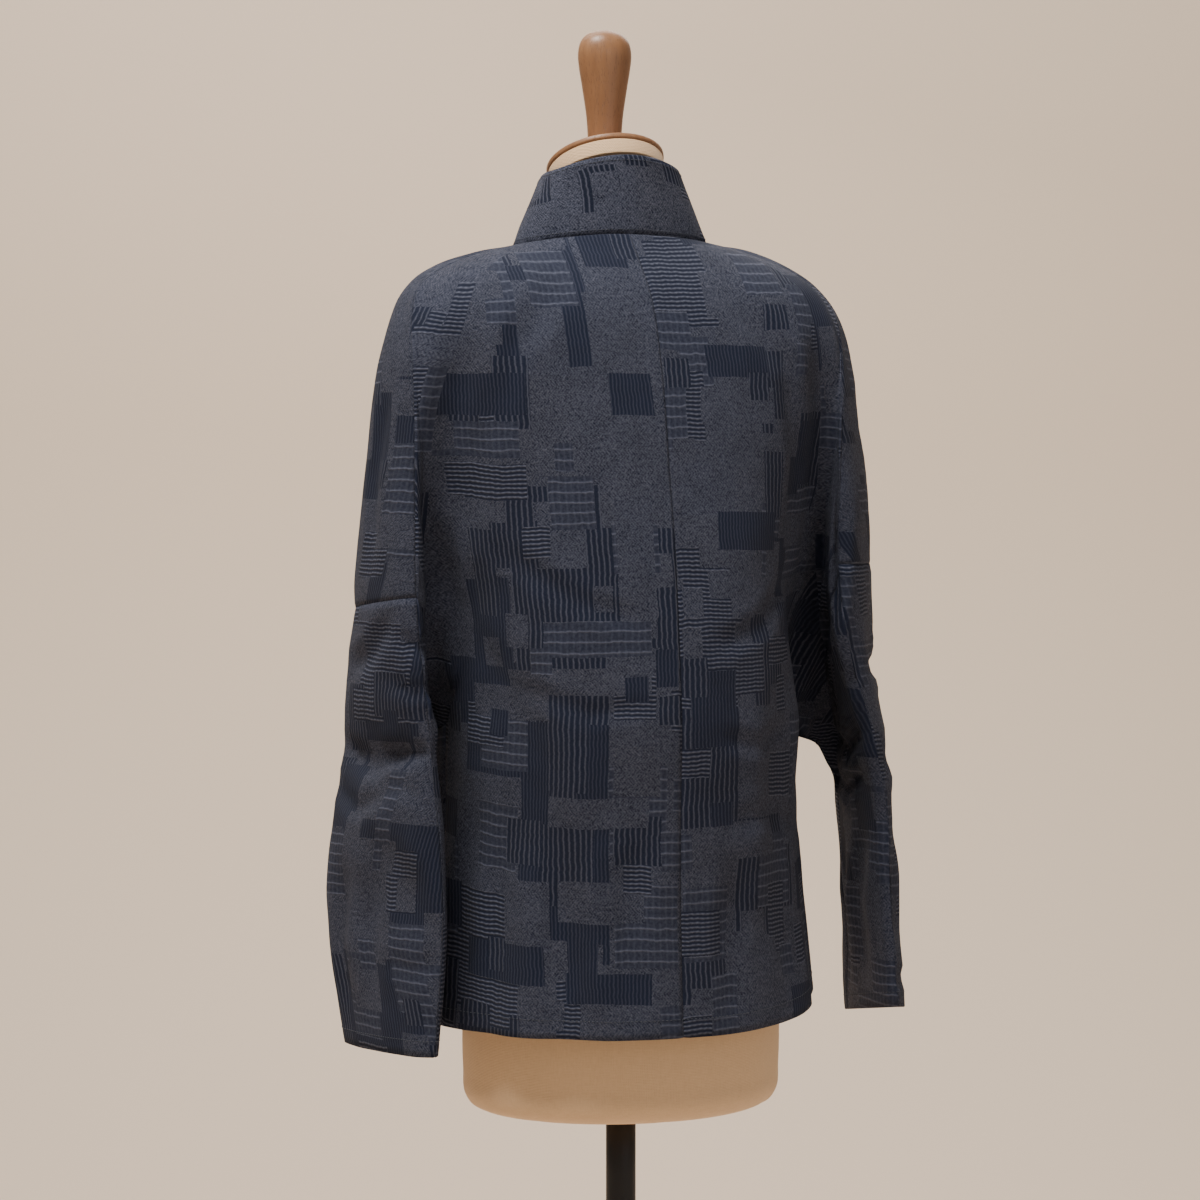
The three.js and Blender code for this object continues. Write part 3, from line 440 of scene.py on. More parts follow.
def arm_line(side, share, body, tube, slack):
    """A row at the armhole: body, web and sleeve. At the lowest one the web is the underarm seam."""
    if share < 1:
        slack *= (1 - share) ** 0.5
        bridge = web(body[-1], body[-2], tube[0], tube[1], slack, CELLS["web"])
    else:
        bridge = underarm(side, CELLS["web"])
    return np.concatenate([body, bridge[1:-1], tube])


ARM_SHARES = [i / CELLS["arm"] for i in range(CELLS["arm"] + 1)]
BACK = {"stretches": (0.62, 0.12), "leave": 0.86, "land": WHOLE - 0.25, "slack": 0.42}


def back_net(side):
    sign = SIGN[side]
    cells = (CELLS["back"], CELLS["web"], CELLS["sleeve"])
    rows = []
    for i in range(CELLS["yoke"]):
        row = yoke_row(i)
        start = xyz(0, yoke_value(row, "back"), yoke_value(row, "z"))
        run = yoke_arc(start, yoke_value(row, side), lerp(1, BODY_POWER, clamp01(row / 3)))
        rows.append(in_stretches(run, cells, BACK["stretches"]))
    for share in ARM_SHARES:
        z = arm_row(side, share)
        leave = sign * lerp(BACK["leave"], QUARTER, share ** 1.2)
        body = evenly([body_point(z["body"], leave * t) for t in STEPS], cells[0])
        land = lerp(BACK["land"], UNDERARM_TURN, share ** 1.3)
        tube = []
        for turn in back_turns(land):
            t = (turn - land) / (WHOLE - land)
            tube.append(sleeve_point(side, lerp(z["pit"], z["crease"], ease(t)), turn))
        rows.append(arm_line(side, share, body, tube, BACK["slack"]))
    for i in range(1, CELLS["skirt"] + 1):
        line = []
        for j in range(cells[0] + 1):
            turn = sign * QUARTER * j / cells[0]
            z = lerp(PIT_Z, hem_at(turn), i / CELLS["skirt"])
            line.append(body_point(z, turn - sign * slit_turn(z) if j == cells[0] else turn))
        rows.append(np.array(line))
    return rows


print("rows of a half back:", len(back_net("left")))


# %% Fronts
def wrap_at(z, reach):
    """How far a front's slanting edge is past the centre front, as a turn."""
    share = clamp01((WRAP_TOP - z) / (WRAP_TOP - WRAP_END))
    return min(reach, math.asin(share ** (1 / BODY_POWER)))


def under_inset(turn):
    """The under front lies inside the outer one, and comes out at its own side seam."""
    return UNDERLAP * ease((abs(turn + QUARTER) - 0.01) / 0.12)


def turn_of(at, near):
    """The turn of a point on the body's wall, on the same lap as a turn close to it."""
    half = column(BODY, "left" if at[0] >= 0 else "right", at[2])
    deep = column(BODY, "back" if at[1] >= 0 else "front", at[2])
    raw = math.atan2(signed(at[0] / half, 1 / BODY_POWER), signed(at[1] / deep, 1 / BODY_POWER))
    return raw + WHOLE * round((near - raw) / WHOLE)


def sleeve_height(z, turn):
    if turn <= HALF:
        return lerp(z["crease"], z["front"], ease(turn / HALF))
    return lerp(z["front"], z["pit"], ease((turn - HALF) / (UNDERARM_TURN - HALF)))


def swell(run, side, share):
    """Shapes a run of the front yoke over the shoulder and out at the arm."""
    for i, p in enumerate(run):
        t = i / (len(run) - 1)
        p[2] += SHOULDER_RISE[side] * ease(share * 4) * math.sin(HALF * t ** 3) * (1 - share)
        p[0] += SIGN[side] * ARM_SWELL[side] * ease(share * 1.3) * math.sin(HALF * t ** 4)


FRONT = {
    "square": 0.95, "stretches": (0.45, 0.15), "leave": HALF - 0.95, "land": HALF + 0.4, "slack": 0.4,
    "leavePower": {"left": 1.2, "right": 0.8},
}


def front_net(side):
    outer = side == "left"
    sign, across = SIGN[side], FRONT_CELLS[side]
    cells = (across, CELLS["web"], CELLS["frontSleeve"])
    inset = (lambda turn: 0.0) if outer else under_inset
    rows = []
    for i in range(CELLS["yoke"]):
        row = yoke_row(i)
        edge = yoke_value(row, "edge") * (sign, 1, 1)
        seam = yoke_value(row, side)
        run = [list(p) for p in ([edge, seam] if i == 0 else yoke_arc(edge, seam, FRONT["square"]))]
        swell(run, side, i / CELLS["yoke"])
        if not outer:
            for k, p in enumerate(run):
                p[1] += yoke_value(row, "under") * (1 - ease((k / (len(run) - 1) - 0.55) / 0.4))
        rows.append(in_stretches(run, cells, FRONT["stretches"]))
    for share in ARM_SHARES:
        z = arm_row(side, share)
        leave = sign * lerp(FRONT["leave"], QUARTER, share ** FRONT["leavePower"][side])
        edge_z = lerp(WRAP_TOP, WRAP_FOOT, share)
        end = sign * (HALF + wrap_at(edge_z, REACH[side]))
        run = []
        for t in STEPS:
            turn = lerp(end, leave, t)
            run.append(body_point(lerp(edge_z, z["body"], ease(t)), turn, inset(unwrap(turn))))
        body = evenly(run, across)
        land = lerp(FRONT["land"], UNDERARM_TURN, share ** 1.3)
        tube = [sleeve_point(side, sleeve_height(z, turn), turn) for turn in front_turns(land)]
        rows.append(arm_line(side, share, body, tube, FRONT["slack"]))
    top = rows[ARM_END][:across + 1]
    for i in range(1, CELLS["skirt"] + 1):
        share = i / CELLS["skirt"]
        line = []
        for j, start in enumerate(top):
            hang = sign * lerp(HALF + REACH[side], QUARTER, j / across)
            z = lerp(start[2], hem_at(hang), share)
            turn = lerp(turn_of(start, hang), hang, ease(share * 2))
            if j == across:
                turn = hang + sign * slit_turn(z)
            line.append(body_point(z, turn, inset(unwrap(turn))))
        rows.append(np.array(line))
    return rows


RELAX = {"rounds": 6, "reach": 4, "strength": 0.6}


def relax(rows, across):
    """Evens out a net where its yoke goes over into the arm, and keeps every sewn edge."""
    for _ in range(RELAX["rounds"]):
        before = [row.copy() for row in rows]
        for i in range(1, len(rows) - 1):
            strength = RELAX["strength"] * ease(1.4 - abs(i - CELLS["yoke"]) / RELAX["reach"])
            if strength <= 0:
                continue
            last = len(rows[i]) - 1 if i < ARM_END else across
            above, here, below = before[i - 1:i + 2]
            mean = (above[1:last] + below[1:last] + here[0:last - 1] + here[2:last + 1]) / 4
            rows[i][1:last] = lerp(here[1:last], mean, strength)
    return rows


print("rows of the outer front:", len(front_net("left")))


# %% Lower sleeves
def lower_sleeve_net(side, top_row, turns):
    arm = ARM[side]
    rows = [top_row.copy()]
    for i in range(1, CELLS["lower"] + 1):
        share = i / CELLS["lower"]
        line = []
        for top, turn in zip(top_row, turns):
            cuff = lerp(arm["cuffCrease"], arm["cuffFront"], (1 - math.cos(turn)) / 2)
            shift = (top - sleeve_point(side, top[2], turn)) * (1 - ease(share * 1.6))
            line.append(sleeve_point(side, lerp(top[2], cuff, share), turn) + shift)
        rows.append(np.array(line))
    return rows


nets = {}
for side in SIGN:
    across = CELLS["back"]
    nets["back_" + side] = {"rows": relax(back_net(side), across), "body": across}
    across = FRONT_CELLS[side]
    nets["front_" + side] = {"rows": relax(front_net(side), across), "body": across}
for side in SIGN:
    for part, turns in (("back", back_turns), ("front", front_turns)):
        net = nets[part + "_" + side]
        seam_row = net["rows"][ARM_END][net["body"] + CELLS["web"]:]
        rows = lower_sleeve_net(side, seam_row, turns(UNDERARM_TURN))
        nets["sleeve_" + part + "_" + side] = {"rows": rows, "body": None}
TURNED = ("back_left", "front_right", "sleeve_front_right", "sleeve_back_left")
print("nets:", ", ".join(nets))

# %% [markdown]
# ## From nets to smooth cloth
# The nets are coarse, with cells about 20 mm wide. Each cell is filled with a smooth patch, and
# neighbours share their tangents, so the cloth has no facets. A Subdivision Surface modifier
# would draw the edges of the pieces in and open their seams, and this way keeps every edge.

# %% Fill the cells
FINE = 6  # fine cells in each coarse one


def tangents(points):
    """Slopes at each point, weighted by how long the cells beside it are."""
    steps = np.diff(points, axis=0)
    lengths = np.linalg.norm(steps, axis=-1, keepdims=True) + 1e-9
    slopes = steps / lengths
    inner = (slopes[:-1] * lengths[1:] + slopes[1:] * lengths[:-1]) / (lengths[1:] + lengths[:-1])
    return np.concatenate([slopes[:1], inner, slopes[-1:]]), slopes, lengths


def fill(points, kinks=(), soft=None):
    """Smooth points between the given ones, along the first axis. At a kink each side keeps its
    own slope. soft gives, for a kink, how much each column may still share its slopes."""
    shared, slopes, lengths = tangents(points)
    start, end = shared[:-1].copy(), shared[1:].copy()
    for k in kinks:
        if not 0 < k < len(points) - 1:
            continue
        blend = 0.0 if soft is None else soft[:, None]
        start[k] = lerp(slopes[k], start[k], blend)
        end[k - 1] = lerp(slopes[k - 1], end[k - 1], blend)
    start, end = start * lengths, end * lengths
    parts = []
    for s in range(FINE):
        t = s / FINE
        parts.append(
            points[:-1] * ((1 + 2 * t) * (1 - t) ** 2) + points[1:] * ((3 - 2 * t) * t * t)
            + start * (t * (1 - t) ** 2) - end * (t * t * (1 - t))
        )
    filled = np.stack(parts, axis=1).reshape((-1,) + points.shape[1:])
    return np.concatenate([filled, points[-1:]])


def fine_grid(net):
    """The fine points of a net as rows x columns, with NaN where it has no cloth."""
    rows, body = net["rows"], net["body"]
    if body is None:
        across = np.stack([fill(row) for row in rows])
        return fill(across)
    corners = (body, body + CELLS["web"])
    wide = [fill(row, corners if i == ARM_END else ()) for i, row in enumerate(rows[:ARM_END + 1])]
    narrow = [fill(row) for row in rows[ARM_END + 1:]]
    edge = body * FINE
    upper = np.stack(wide)
    full = np.concatenate([upper[:, :edge + 1], np.stack(narrow)])
    away = np.array([ease((edge - j) / (2 * FINE)) for j in range(edge + 1)])
    trunk = fill(full, (ARM_END,), away)
    arm = fill(upper[:, edge + 1:])
    grid = np.full((trunk.shape[0], upper.shape[1], 3), np.nan)
    grid[:, :edge + 1] = trunk
    grid[:arm.shape[0], edge + 1:] = arm
    return grid


for net in nets.values():
    net["grid"] = fine_grid(net)
print("fine grid of the left back:", nets["back_left"]["grid"].shape[:2])


# %% Which cells are cloth, and how much each point belongs to a sleeve
def cell_mask(net):
    """True for each fine cell that has cloth."""
    there = ~np.isnan(net["grid"][..., 0])
    mask = there[:-1, :-1] & there[1:, :-1] & there[:-1, 1:] & there[1:, 1:]
    if net["body"] is not None:
        mask[ARM_END * FINE:, net["body"] * FINE:] = False
    return mask


def sleeve_share(net):
    """0 on the body, 1 on the sleeve, for each column."""
    count = net["grid"].shape[1]
    if net["body"] is None:
        return np.ones(count)
    start, wide = net["body"] * FINE, CELLS["web"] * FINE
    return np.array([ease((j - start) / wide) for j in range(count)])


for net in nets.values():
    net["cells"] = cell_mask(net)
    net["arm"] = np.broadcast_to(sleeve_share(net), net["grid"].shape[:2])
print("cells of cloth:", sum(int(net["cells"].sum()) for net in nets.values()))

# %% [markdown]
# ## The collar's band
# The collar is one straight band, folded round the neck and sewn down both slanting front edges.
# Its inner edge is the edge of the other pieces, so its first column repeats theirs.

# %% Collar
COLLAR_WIDTH = 62
COLLAR_RISE = {"top": 27, "foot": 36}
UNDER_STATIONS = 3
EDGE_SINK = 2
COLLAR_EDGE = [
    (49, -60, 42), (30, -84, 19), (10, -98, -7), (-10, -104, -37),
    (-25, -107.5, -64), (-38, -109.5, -88), (-51, -110, -110),
]
COLLAR_TOP = {"half": 55, "back": 38, "y": -18, "centreZ": 62, "sideZ": 51}
COLLAR_PLIES = 3


def free_edge(seam, outer, share):
    """The collar's free edge on the chest, square to its seam along the body's wall."""
    sign = 1 if outer else -1
    turn = abs(turn_of(seam, sign * math.pi * (1 + share / 2)))
    rise = lerp(COLLAR_RISE["top"], COLLAR_RISE["foot"], share)
    across = math.sqrt(COLLAR_WIDTH ** 2 - rise ** 2)
    far = lerp(1.1, REACH["left"], ease((share - 0.45) / 0.4)) if outer else REACH["right"] + 0.4
    inset = 0 if outer else UNDERLAP * EDGE_SINK
    start = body_point(seam[2] + rise, sign * turn, inset)
    end, here = turn, start
    while end < math.pi + far and np.linalg.norm(here - start) < across:
        end += 0.01
        here = body_point(seam[2] + rise, sign * end, inset)
    return here


def collar_run(side):
    """Pairs of a place on the seam and one on the free edge, down one front."""
    outer = side == "left"
    rows = nets["front_" + side]["rows"]
    pairs = []
    for i in range(ARM_END + 1 if outer else CELLS["yoke"] + UNDER_STATIONS + 1):
        if i >= CELLS["yoke"]:
            pairs.append((rows[i][0], free_edge(rows[i][0], outer, (i - CELLS["yoke"]) / CELLS["arm"])))
            continue
        row = yoke_row(i)
        free = along_rows(COLLAR_EDGE, row, np.array)
        if not outer:
            free = free * (-1, 1, 1) + (0, yoke_value(row, "under") * EDGE_SINK, 0)
        pairs.append((rows[i][0], free))
    return pairs


def neck_run(sign, net):
    """The collar behind the neck, on one side."""
    pairs = []
    for j, seam in enumerate(net["rows"][0]):
        a = j / (len(net["rows"][0]) - 1) * QUARTER
        free = xyz(
            sign * COLLAR_TOP["half"] * math.sin(a),
            COLLAR_TOP["y"] + COLLAR_TOP["back"] * math.cos(a),
            lerp(COLLAR_TOP["sideZ"], COLLAR_TOP["centreZ"], math.cos(a) ** 2),
        )
        pairs.append((seam, free))
    return pairs


left_run, right_run = collar_run("left"), collar_run("right")
neck_left, neck_right = neck_run(1, nets["back_left"]), neck_run(-1, nets["back_right"])
stations = left_run[::-1] + neck_left[::-1] + neck_right[1:] + right_run
corners = [len(left_run) - 1, len(left_run)]
corners += [len(left_run) + len(neck_left) + len(neck_right) - 2, len(stations) - len(right_run)]
band = np.stack([evenly(pair, COLLAR_PLIES) for pair in stations])
band = np.stack([fill(row) for row in band])
loose = np.array([ease(j / FINE) for j in range(band.shape[1])])
nets["collar"] = {"rows": stations, "body": None, "grid": fill(band, corners, loose)}
nets["collar"]["cells"] = cell_mask(nets["collar"])
nets["collar"]["arm"] = np.zeros(nets["collar"]["grid"].shape[:2])
print("collar length in mm:", round(float(np.linalg.norm(np.diff(band[:, 0], axis=0), axis=1).sum())))

# %% [markdown]
# ## Threads on the surface
# The weave has to run with the cloth as it was cut: down the back, slanting across the web under
# the arm, and along each sleeve. So each point gets its place on the flat cloth, from lengths
# measured along its row and its column. Object coordinates would draw straight lines through
# every fold instead.


# %% Place of each point on the flat cloth
def run_lengths(grid, axis):
    """Lengths along rows (axis 1) or down columns (axis 0), from the first point."""
    steps = np.linalg.norm(np.diff(np.nan_to_num(grid), axis=axis), axis=2)
    start = np.zeros_like(steps[:1] if axis == 0 else steps[:, :1])
    return np.concatenate([start, np.cumsum(steps, axis=axis)], axis=axis)


def centre_offset(grid, sign):
    """For a front, how far each row's first point is from the centre front."""
    lengths = run_lengths(grid, 1)
    starts = []
    for row, reach in zip(grid, lengths):
        x = row[:, 0] * sign
        crossing = int(np.argmax(x > 0))
        starts.append(x[0] if crossing == 0 else -reach[crossing])
    return np.array(starts)[:, None]


# Each piece is cut from its own place of the bolt, so nothing matches across a seam.
BOLT = {
    "back_left": (0.31, 0.12), "back_right": (0.86, 0.43), "front_left": (1.47, 0.06),
    "front_right": (2.19, 0.71), "sleeve_back_left": (2.83, 0.22), "sleeve_back_right": (3.37, 0.57),
    "sleeve_front_left": (3.91, 0.34), "sleeve_front_right": (4.43, 0.81), "collar": (5.12, 0.185),
}
ARM_PLACE = 0.217  # how far along the bolt from a piece's body its sleeve lies


def flat_places(name, net):
    """The place on the bolt as the piece lies from its first column."""
    grid = net["grid"]
    sign = -1 if name.endswith("right") else 1
    across, down = run_lengths(grid, 1), run_lengths(grid, 0)
    if name.startswith("front"):
        across = across + centre_offset(grid, sign)
    if net["body"] is not None:
        top = CELLS["yoke"] * FINE
        heights = -np.nan_to_num(grid[..., 2])
        down = np.where(np.arange(len(grid))[:, None] <= top, heights, heights[top] + down - down[top])
    if name == "collar":
        across, down = down, across
    u, v = BOLT[name]
    return np.stack([u + sign * across * MM, v - down * MM], axis=2)


def arm_places(name, net):
    """The same for a sleeve, where threads run down the arm and level round it."""
    grid = np.nan_to_num(net["grid"])
    start = net["arm_from"]
    around = run_lengths(grid * (1, 1, 0), 1)
    around = around - around[:, start:start + 1]
    sign = -1 if name.endswith("right") else 1
    u, v = BOLT[name]
    return np.stack([u + ARM_PLACE + sign * around * MM, v + grid[..., 2] * MM], axis=2)


for name, net in nets.items():
    columns = net["grid"].shape[1]
    sleeve_only = net["body"] is None and name != "collar"
    net["arm_from"] = 0 if sleeve_only else columns
    if net["body"] is not None:
        net["arm_from"] = (net["body"] + CELLS["web"]) * FINE
    net["flat"] = flat_places(name, net)
    net["arm_flat"] = net["flat"] if name == "collar" else arm_places(name, net)
print("left back on the bolt:", np.nanmin(nets["back_left"]["flat"], axis=(0, 1)).round(3))

# %% [markdown]
# ## Creases
# Cloth that hangs from shoulders has a few long soft troughs, short drag lines at the armholes,
# and puckers where a sleeve folds. A simulation would find others each time the size changes, so
# each crease here is a row in a table: a line in one view, its width and its depth. A crease is
# full where the cloth faces that view, and fades round the sides.

# %% Table of creases
# By view and part: width, depth (negative stands out), and points (across, height) in that view
CREASES = {
    ("back", "body"): [
        (15, 4.5, (122, -338), (103, -420), (88, -520), (80, -612)),
        (20, -2.5, (86, -400), (70, -500), (62, -618)), (13, 3.5, (36, -470), (46, -545), (42, -618)),
        (16, 4.0, (-98, -345), (-92, -430), (-101, -530), (-108, -600)),
        (12, 2.5, (-48, -500), (-40, -560), (-46, -612)),
        (11, 2.4, (70, -34), (118, -96), (139, -170), (141, -236)),
        (11, 2.4, (-62, -40), (-112, -108), (-126, -180), (-120, -240)),
        (8, 1.8, (124, -250), (80, -286), (34, -300)), (8, 2.0, (-116, -268), (-76, -306), (-30, -322)),
        (7, 1.5, (118, -352), (70, -372), (20, -366)), (7, 1.6, (-112, -384), (-70, -400), (-34, -392)),
        (9, 1.6, (-126, -470), (-80, -452), (-44, -460)),
    ],
    ("back", "web"): [
        (7, 4.0, (141, -386), (158, -330), (170, -268), (176, -214)),
        (6, 3.2, (143, -352), (154, -292), (164, -232)),
        (6, 3.6, (150, -408), (168, -372), (178, -330)),
        (7, 3.0, (-136, -392), (-152, -338), (-162, -276), (-164, -220)),
        (6, 2.4, (-146, -412), (-164, -384), (-178, -350)),
        (11, -6.5, (168, -284), (157, -322), (144, -360)),
        (8, 5.0, (174, -346), (158, -380), (143, -404)),
        (15, 6.6, (150, -52), (157, -150), (161, -250), (153, -372)),
        (13, 4.4, (-146, -62), (-152, -160), (-151, -262), (-143, -376)),
    ],
    ("back", "sleeve"): [
        (6, 2.2, (170, -316), (186, -322), (205, -314)),
        (5, 2.6, (206, -349), (190, -356), (176, -352)),
        (6, 3.0, (212, -398), (196, -408), (178, -402)),
        (5, 2.0, (214, -424), (200, -430), (188, -438)),
        (9, 2.6, (212, -470), (196, -500), (184, -548)),
        (7, 1.8, (176, -560), (192, -572), (206, -566)),
        (6, 2.2, (-232, -342), (-214, -352), (-196, -346)),
        (9, 1.2, (-236, -402), (-220, -418), (-204, -430)),
        (8, 2.2, (-228, -470), (-220, -520), (-224, -570)),
        (6, 1.8, (-238, -596), (-228, -602), (-216, -598)),
    ],
    ("left", "sleeve"): [
        (9, 3.0, (40, -300), (10, -330), (-30, -342)), (8, 3.4, (48, -398), (8, -416), (-44, -404)),
        (7, 2.4, (30, -436), (-10, -452), (-52, -438)), (12, 3.0, (20, -480), (6, -540), (14, -600)),
        (10, 2.4, (-30, -500), (-38, -560), (-30, -616)), (9, 2.2, (24, -120), (10, -190), (14, -260)),
    ],
    ("left", "body"): [
        (12, 3.0, (40, -440), (30, -520), (36, -600)), (12, 3.0, (-48, -430), (-40, -520), (-50, -606)),
        (34, -6.5, (6, -240), (4, -420), (0, -760)), (26, -7.5, (-34, -370), (-32, -430), (-36, -520)),
    ],
    ("front", "web"): [
        (13, 4.2, (150, -120), (168, -240), (160, -360)),
        (13, 4.2, (-150, -120), (-172, -240), (-160, -366)),
        (7, 3.0, (142, -388), (162, -330), (182, -262)),
        (6, 2.4, (150, -410), (176, -372), (196, -330)),
        (7, 3.0, (-140, -392), (-164, -336), (-190, -268)),
        (6, 2.4, (-150, -414), (-180, -380), (-206, -344)),
    ],
    ("right", "sleeve"): [
        (9, 3.0, (40, -330), (0, -352), (-48, -344)), (12, 2.2, (46, -410), (6, -436), (-56, -420)),
        (11, 1.5, (26, -456), (-20, -470), (-64, -458)), (12, 3.0, (10, -500), (-8, -556), (0, -612)),
        (9, 2.4, (20, -130), (0, -200), (6, -256)),
    ],
    ("right", "body"): [
        (12, 2.6, (36, -450), (28, -520), (34, -590)),
    ],
    ("front", "body"): [
        (13, 3.2, (-118, -424), (-52, -352), (20, -296), (84, -262)),
        (11, 2.6, (-112, -444), (-30, -404), (56, -372), (116, -350)),
        (9, 2.0, (-104, -462), (-40, -446), (30, -430)), (15, 4.0, (58, -476), (66, -545), (72, -616)),
        (14, 3.4, (-42, -486), (-50, -550), (-46, -616)),
        (13, 3.6, (112, -400), (118, -500), (122, -612)),
        (12, 3.0, (-106, -500), (-112, -560), (-110, -606)),
        (10, 2.6, (96, -64), (128, -130), (140, -206), (136, -260)),
        (10, 2.6, (-100, -66), (-128, -136), (-132, -210), (-124, -262)),
        (8, 1.8, (130, -276), (96, -304), (60, -312)),
    ],
    ("front", "sleeve"): [
        (7, 2.4, (182, -402), (200, -418), (216, -410)),
        (9, 2.6, (204, -470), (196, -530), (204, -600)),
        (7, 2.4, (-200, -410), (-216, -430), (-232, -422)),
        (9, 2.4, (-214, -480), (-222, -540), (-214, -606)),
    ],
}
VIEWS = {
    # name: axis seen across, direction that faces the view
    "back": (0, (0, 1, 0)), "front": (0, (0, -1, 0)),
    "left": (1, (1, 0, 0)), "right": (1, (-1, 0, 0)),
}
CREASE_DEPTH = 1.35
UNEVEN = [
    # scale of the waves in mm, height in mm
    (64, 1.3), (27, 0.5),
]
print("creases:", sum(len(rows) for rows in CREASES.values()))


# %% How far the creases move each point
LIP = {"high": 0.28, "place": 1.7, "wide": 0.4}  # the soft rise on both sides of a trough
FADE = {"start": 0.08, "along": 0.84, "steep": 1.3}  # how a crease runs out at its ends
FACING_STEEP = 1.8


def line_distance(points, line):
    """Distance of flat points to a line of points, and how far along the line, 0 to 1."""
    best = np.full(len(points), 1e9)
    along = np.zeros(len(points))
    for k in range(len(line) - 1):
        a, b = np.array(line[k], float), np.array(line[k + 1], float)
        t = np.clip(((points - a) @ (b - a)) / ((b - a) @ (b - a)), 0, 1)
        gap = np.linalg.norm(points - a - t[:, None] * (b - a), axis=1)
        nearer = gap < best
        best[nearer] = gap[nearer]
        along[nearer] = ((k + t) / (len(line) - 1))[nearer]
    return best, along


def soft_step(values):
    t = np.clip(values, 0, 1)
    return t * t * (3 - 2 * t)


PART_WEIGHT = {
    "body": lambda arm: 1 - soft_step(arm * 1.6),
    "web": lambda arm: np.ones_like(arm),
    "sleeve": lambda arm: soft_step(arm * 1.6 - 0.6),
}


def crease_heights(points, normals, arm):
    """How far each point moves along its normal, in mm."""
    height = np.zeros(len(points))
    for (view, part), rows in CREASES.items():
        axis, facing = VIEWS[view]
        flat = points[:, (axis, 2)]
        toward_view = normals @ np.array(facing)
        for wide, deep, *line in rows:
            reach = 3 * wide
            near = np.all((flat > np.min(line, 0) - reach) & (flat < np.max(line, 0) + reach), axis=1)
            near &= toward_view > 0
            if not near.any():
                continue
            gap, along = line_distance(flat[near], line)
            off = gap / wide
            lip = LIP["high"] * np.exp(-((off - LIP["place"]) ** 2) / LIP["wide"])
            trough = np.exp(-off ** 2) - lip
            fade = soft_step(np.sin(np.pi * (FADE["start"] + FADE["along"] * along)) * FADE["steep"])
            share = soft_step(toward_view[near] * FACING_STEEP) * PART_WEIGHT[part](arm[near])
            height[near] -= CREASE_DEPTH * deep * trough * fade * share
    for scale, high in UNEVEN:
        waves = [noise.noise(Vector(p) / scale) for p in points]
        height += high * np.array(waves)
    return height


first = CREASES["back", "body"][0]
print("a trough is", first[1], "mm deep and", first[0], "mm wide each side")

# %% [markdown]
# ## Shells
# Every piece becomes a thin closed shell: the outer face with its creases, an inner face one
# cloth's thickness below, and a rounded edge between them. Sewn edges dip a little, as a pressed
# seam does. The normals are shared by all pieces that meet at a point, so no seam opens.

# %% Normals that the pieces share
CLOTH_THICK = 1.7
SEAM_DIP, HEM_DIP = 0.6, 0.25
SEAM_ROUND, HEM_ROUND = 0.05, 0.5  # how far the middle of an edge stands out
SEAM_GAP = 0.3


def cell_corners(net):
    """Indices (row, column) of the four corners of every cell, in order round it."""
    i, j = np.nonzero(net["cells"])
    order = ((i, j), (i, j + 1), (i + 1, j + 1), (i + 1, j))
    return order if net["turned"] else order[::-1]


def place_keys(points):
    """Whole numbers that are the same for points within a twentieth of a millimetre."""
    return np.round(points * 20).astype(np.int64)


for name, net in nets.items():
    net["turned"] = name in TURNED
everything, sums = [], []
for net in nets.values():
    corners4 = [net["grid"][r, c] for r, c in cell_corners(net)]
    normal = np.cross(corners4[2] - corners4[0], corners4[3] - corners4[1])
    everything += corners4
    sums += [normal] * 4
unique, inverse = np.unique(place_keys(np.concatenate(everything)), axis=0, return_inverse=True)
totals = np.zeros((len(unique), 3))
np.add.at(totals, inverse.ravel(), np.concatenate(sums))
shared_normal = {tuple(k): unit(t) for k, t in zip(unique, totals)}
owners = {}
for name, net in nets.items():
    there = net["grid"][~np.isnan(net["grid"][..., 0])]
    for k in map(tuple, np.unique(place_keys(there), axis=0)):
        owners[k] = owners.get(k, 0) + 1
print("shared places on seams:", sum(1 for count in owners.values() if count > 1))


# %% Build one shell
def neighbours_missing(mask, r, c):
    """Which of the four sides of a grid point have no cloth: right, left, below, above."""
    rows, columns = mask.shape
    cells = ((r - 1, c - 1), (r - 1, c), (r, c), (r, c - 1))
    a, b, d, e = (0 <= i < rows and 0 <= j < columns and mask[i, j] for i, j in cells)
    return not (b or d), not (a or e), not (d or e), not (a or b)


def outward_pull(net, r, c):
    """The direction away from the cloth at an edge point, along the surface."""
    grid = net["grid"]
    pull = np.zeros(3)
    steps = ((0, 1), (0, -1), (1, 0), (-1, 0))
    for gone, (dr, dc) in zip(neighbours_missing(net["cells"], r, c), steps):
        if gone:
            inner = grid[r - dr, c - dc]
            pull += unit(grid[r, c] - inner) if not np.isnan(inner[0]) else 0
    length = np.linalg.norm(pull)
    return pull / length if length > 0 else pull


def lay_flat(mesh, net, used, corner_points):
    """A UV map of places on the bolt. A face that lies wholly on a sleeve has the sleeve's threads."""
    on_arm = np.nonzero(used)[1] >= net["arm_from"]
    whole = on_arm[corner_points].all(axis=1)[:, None, None]
    places = np.where(whole, net["arm_flat"][used][corner_points], net["flat"][used][corner_points])
    mesh.uv_layers.new(name="flat_cloth").data.foreach_set("uv", places.ravel())


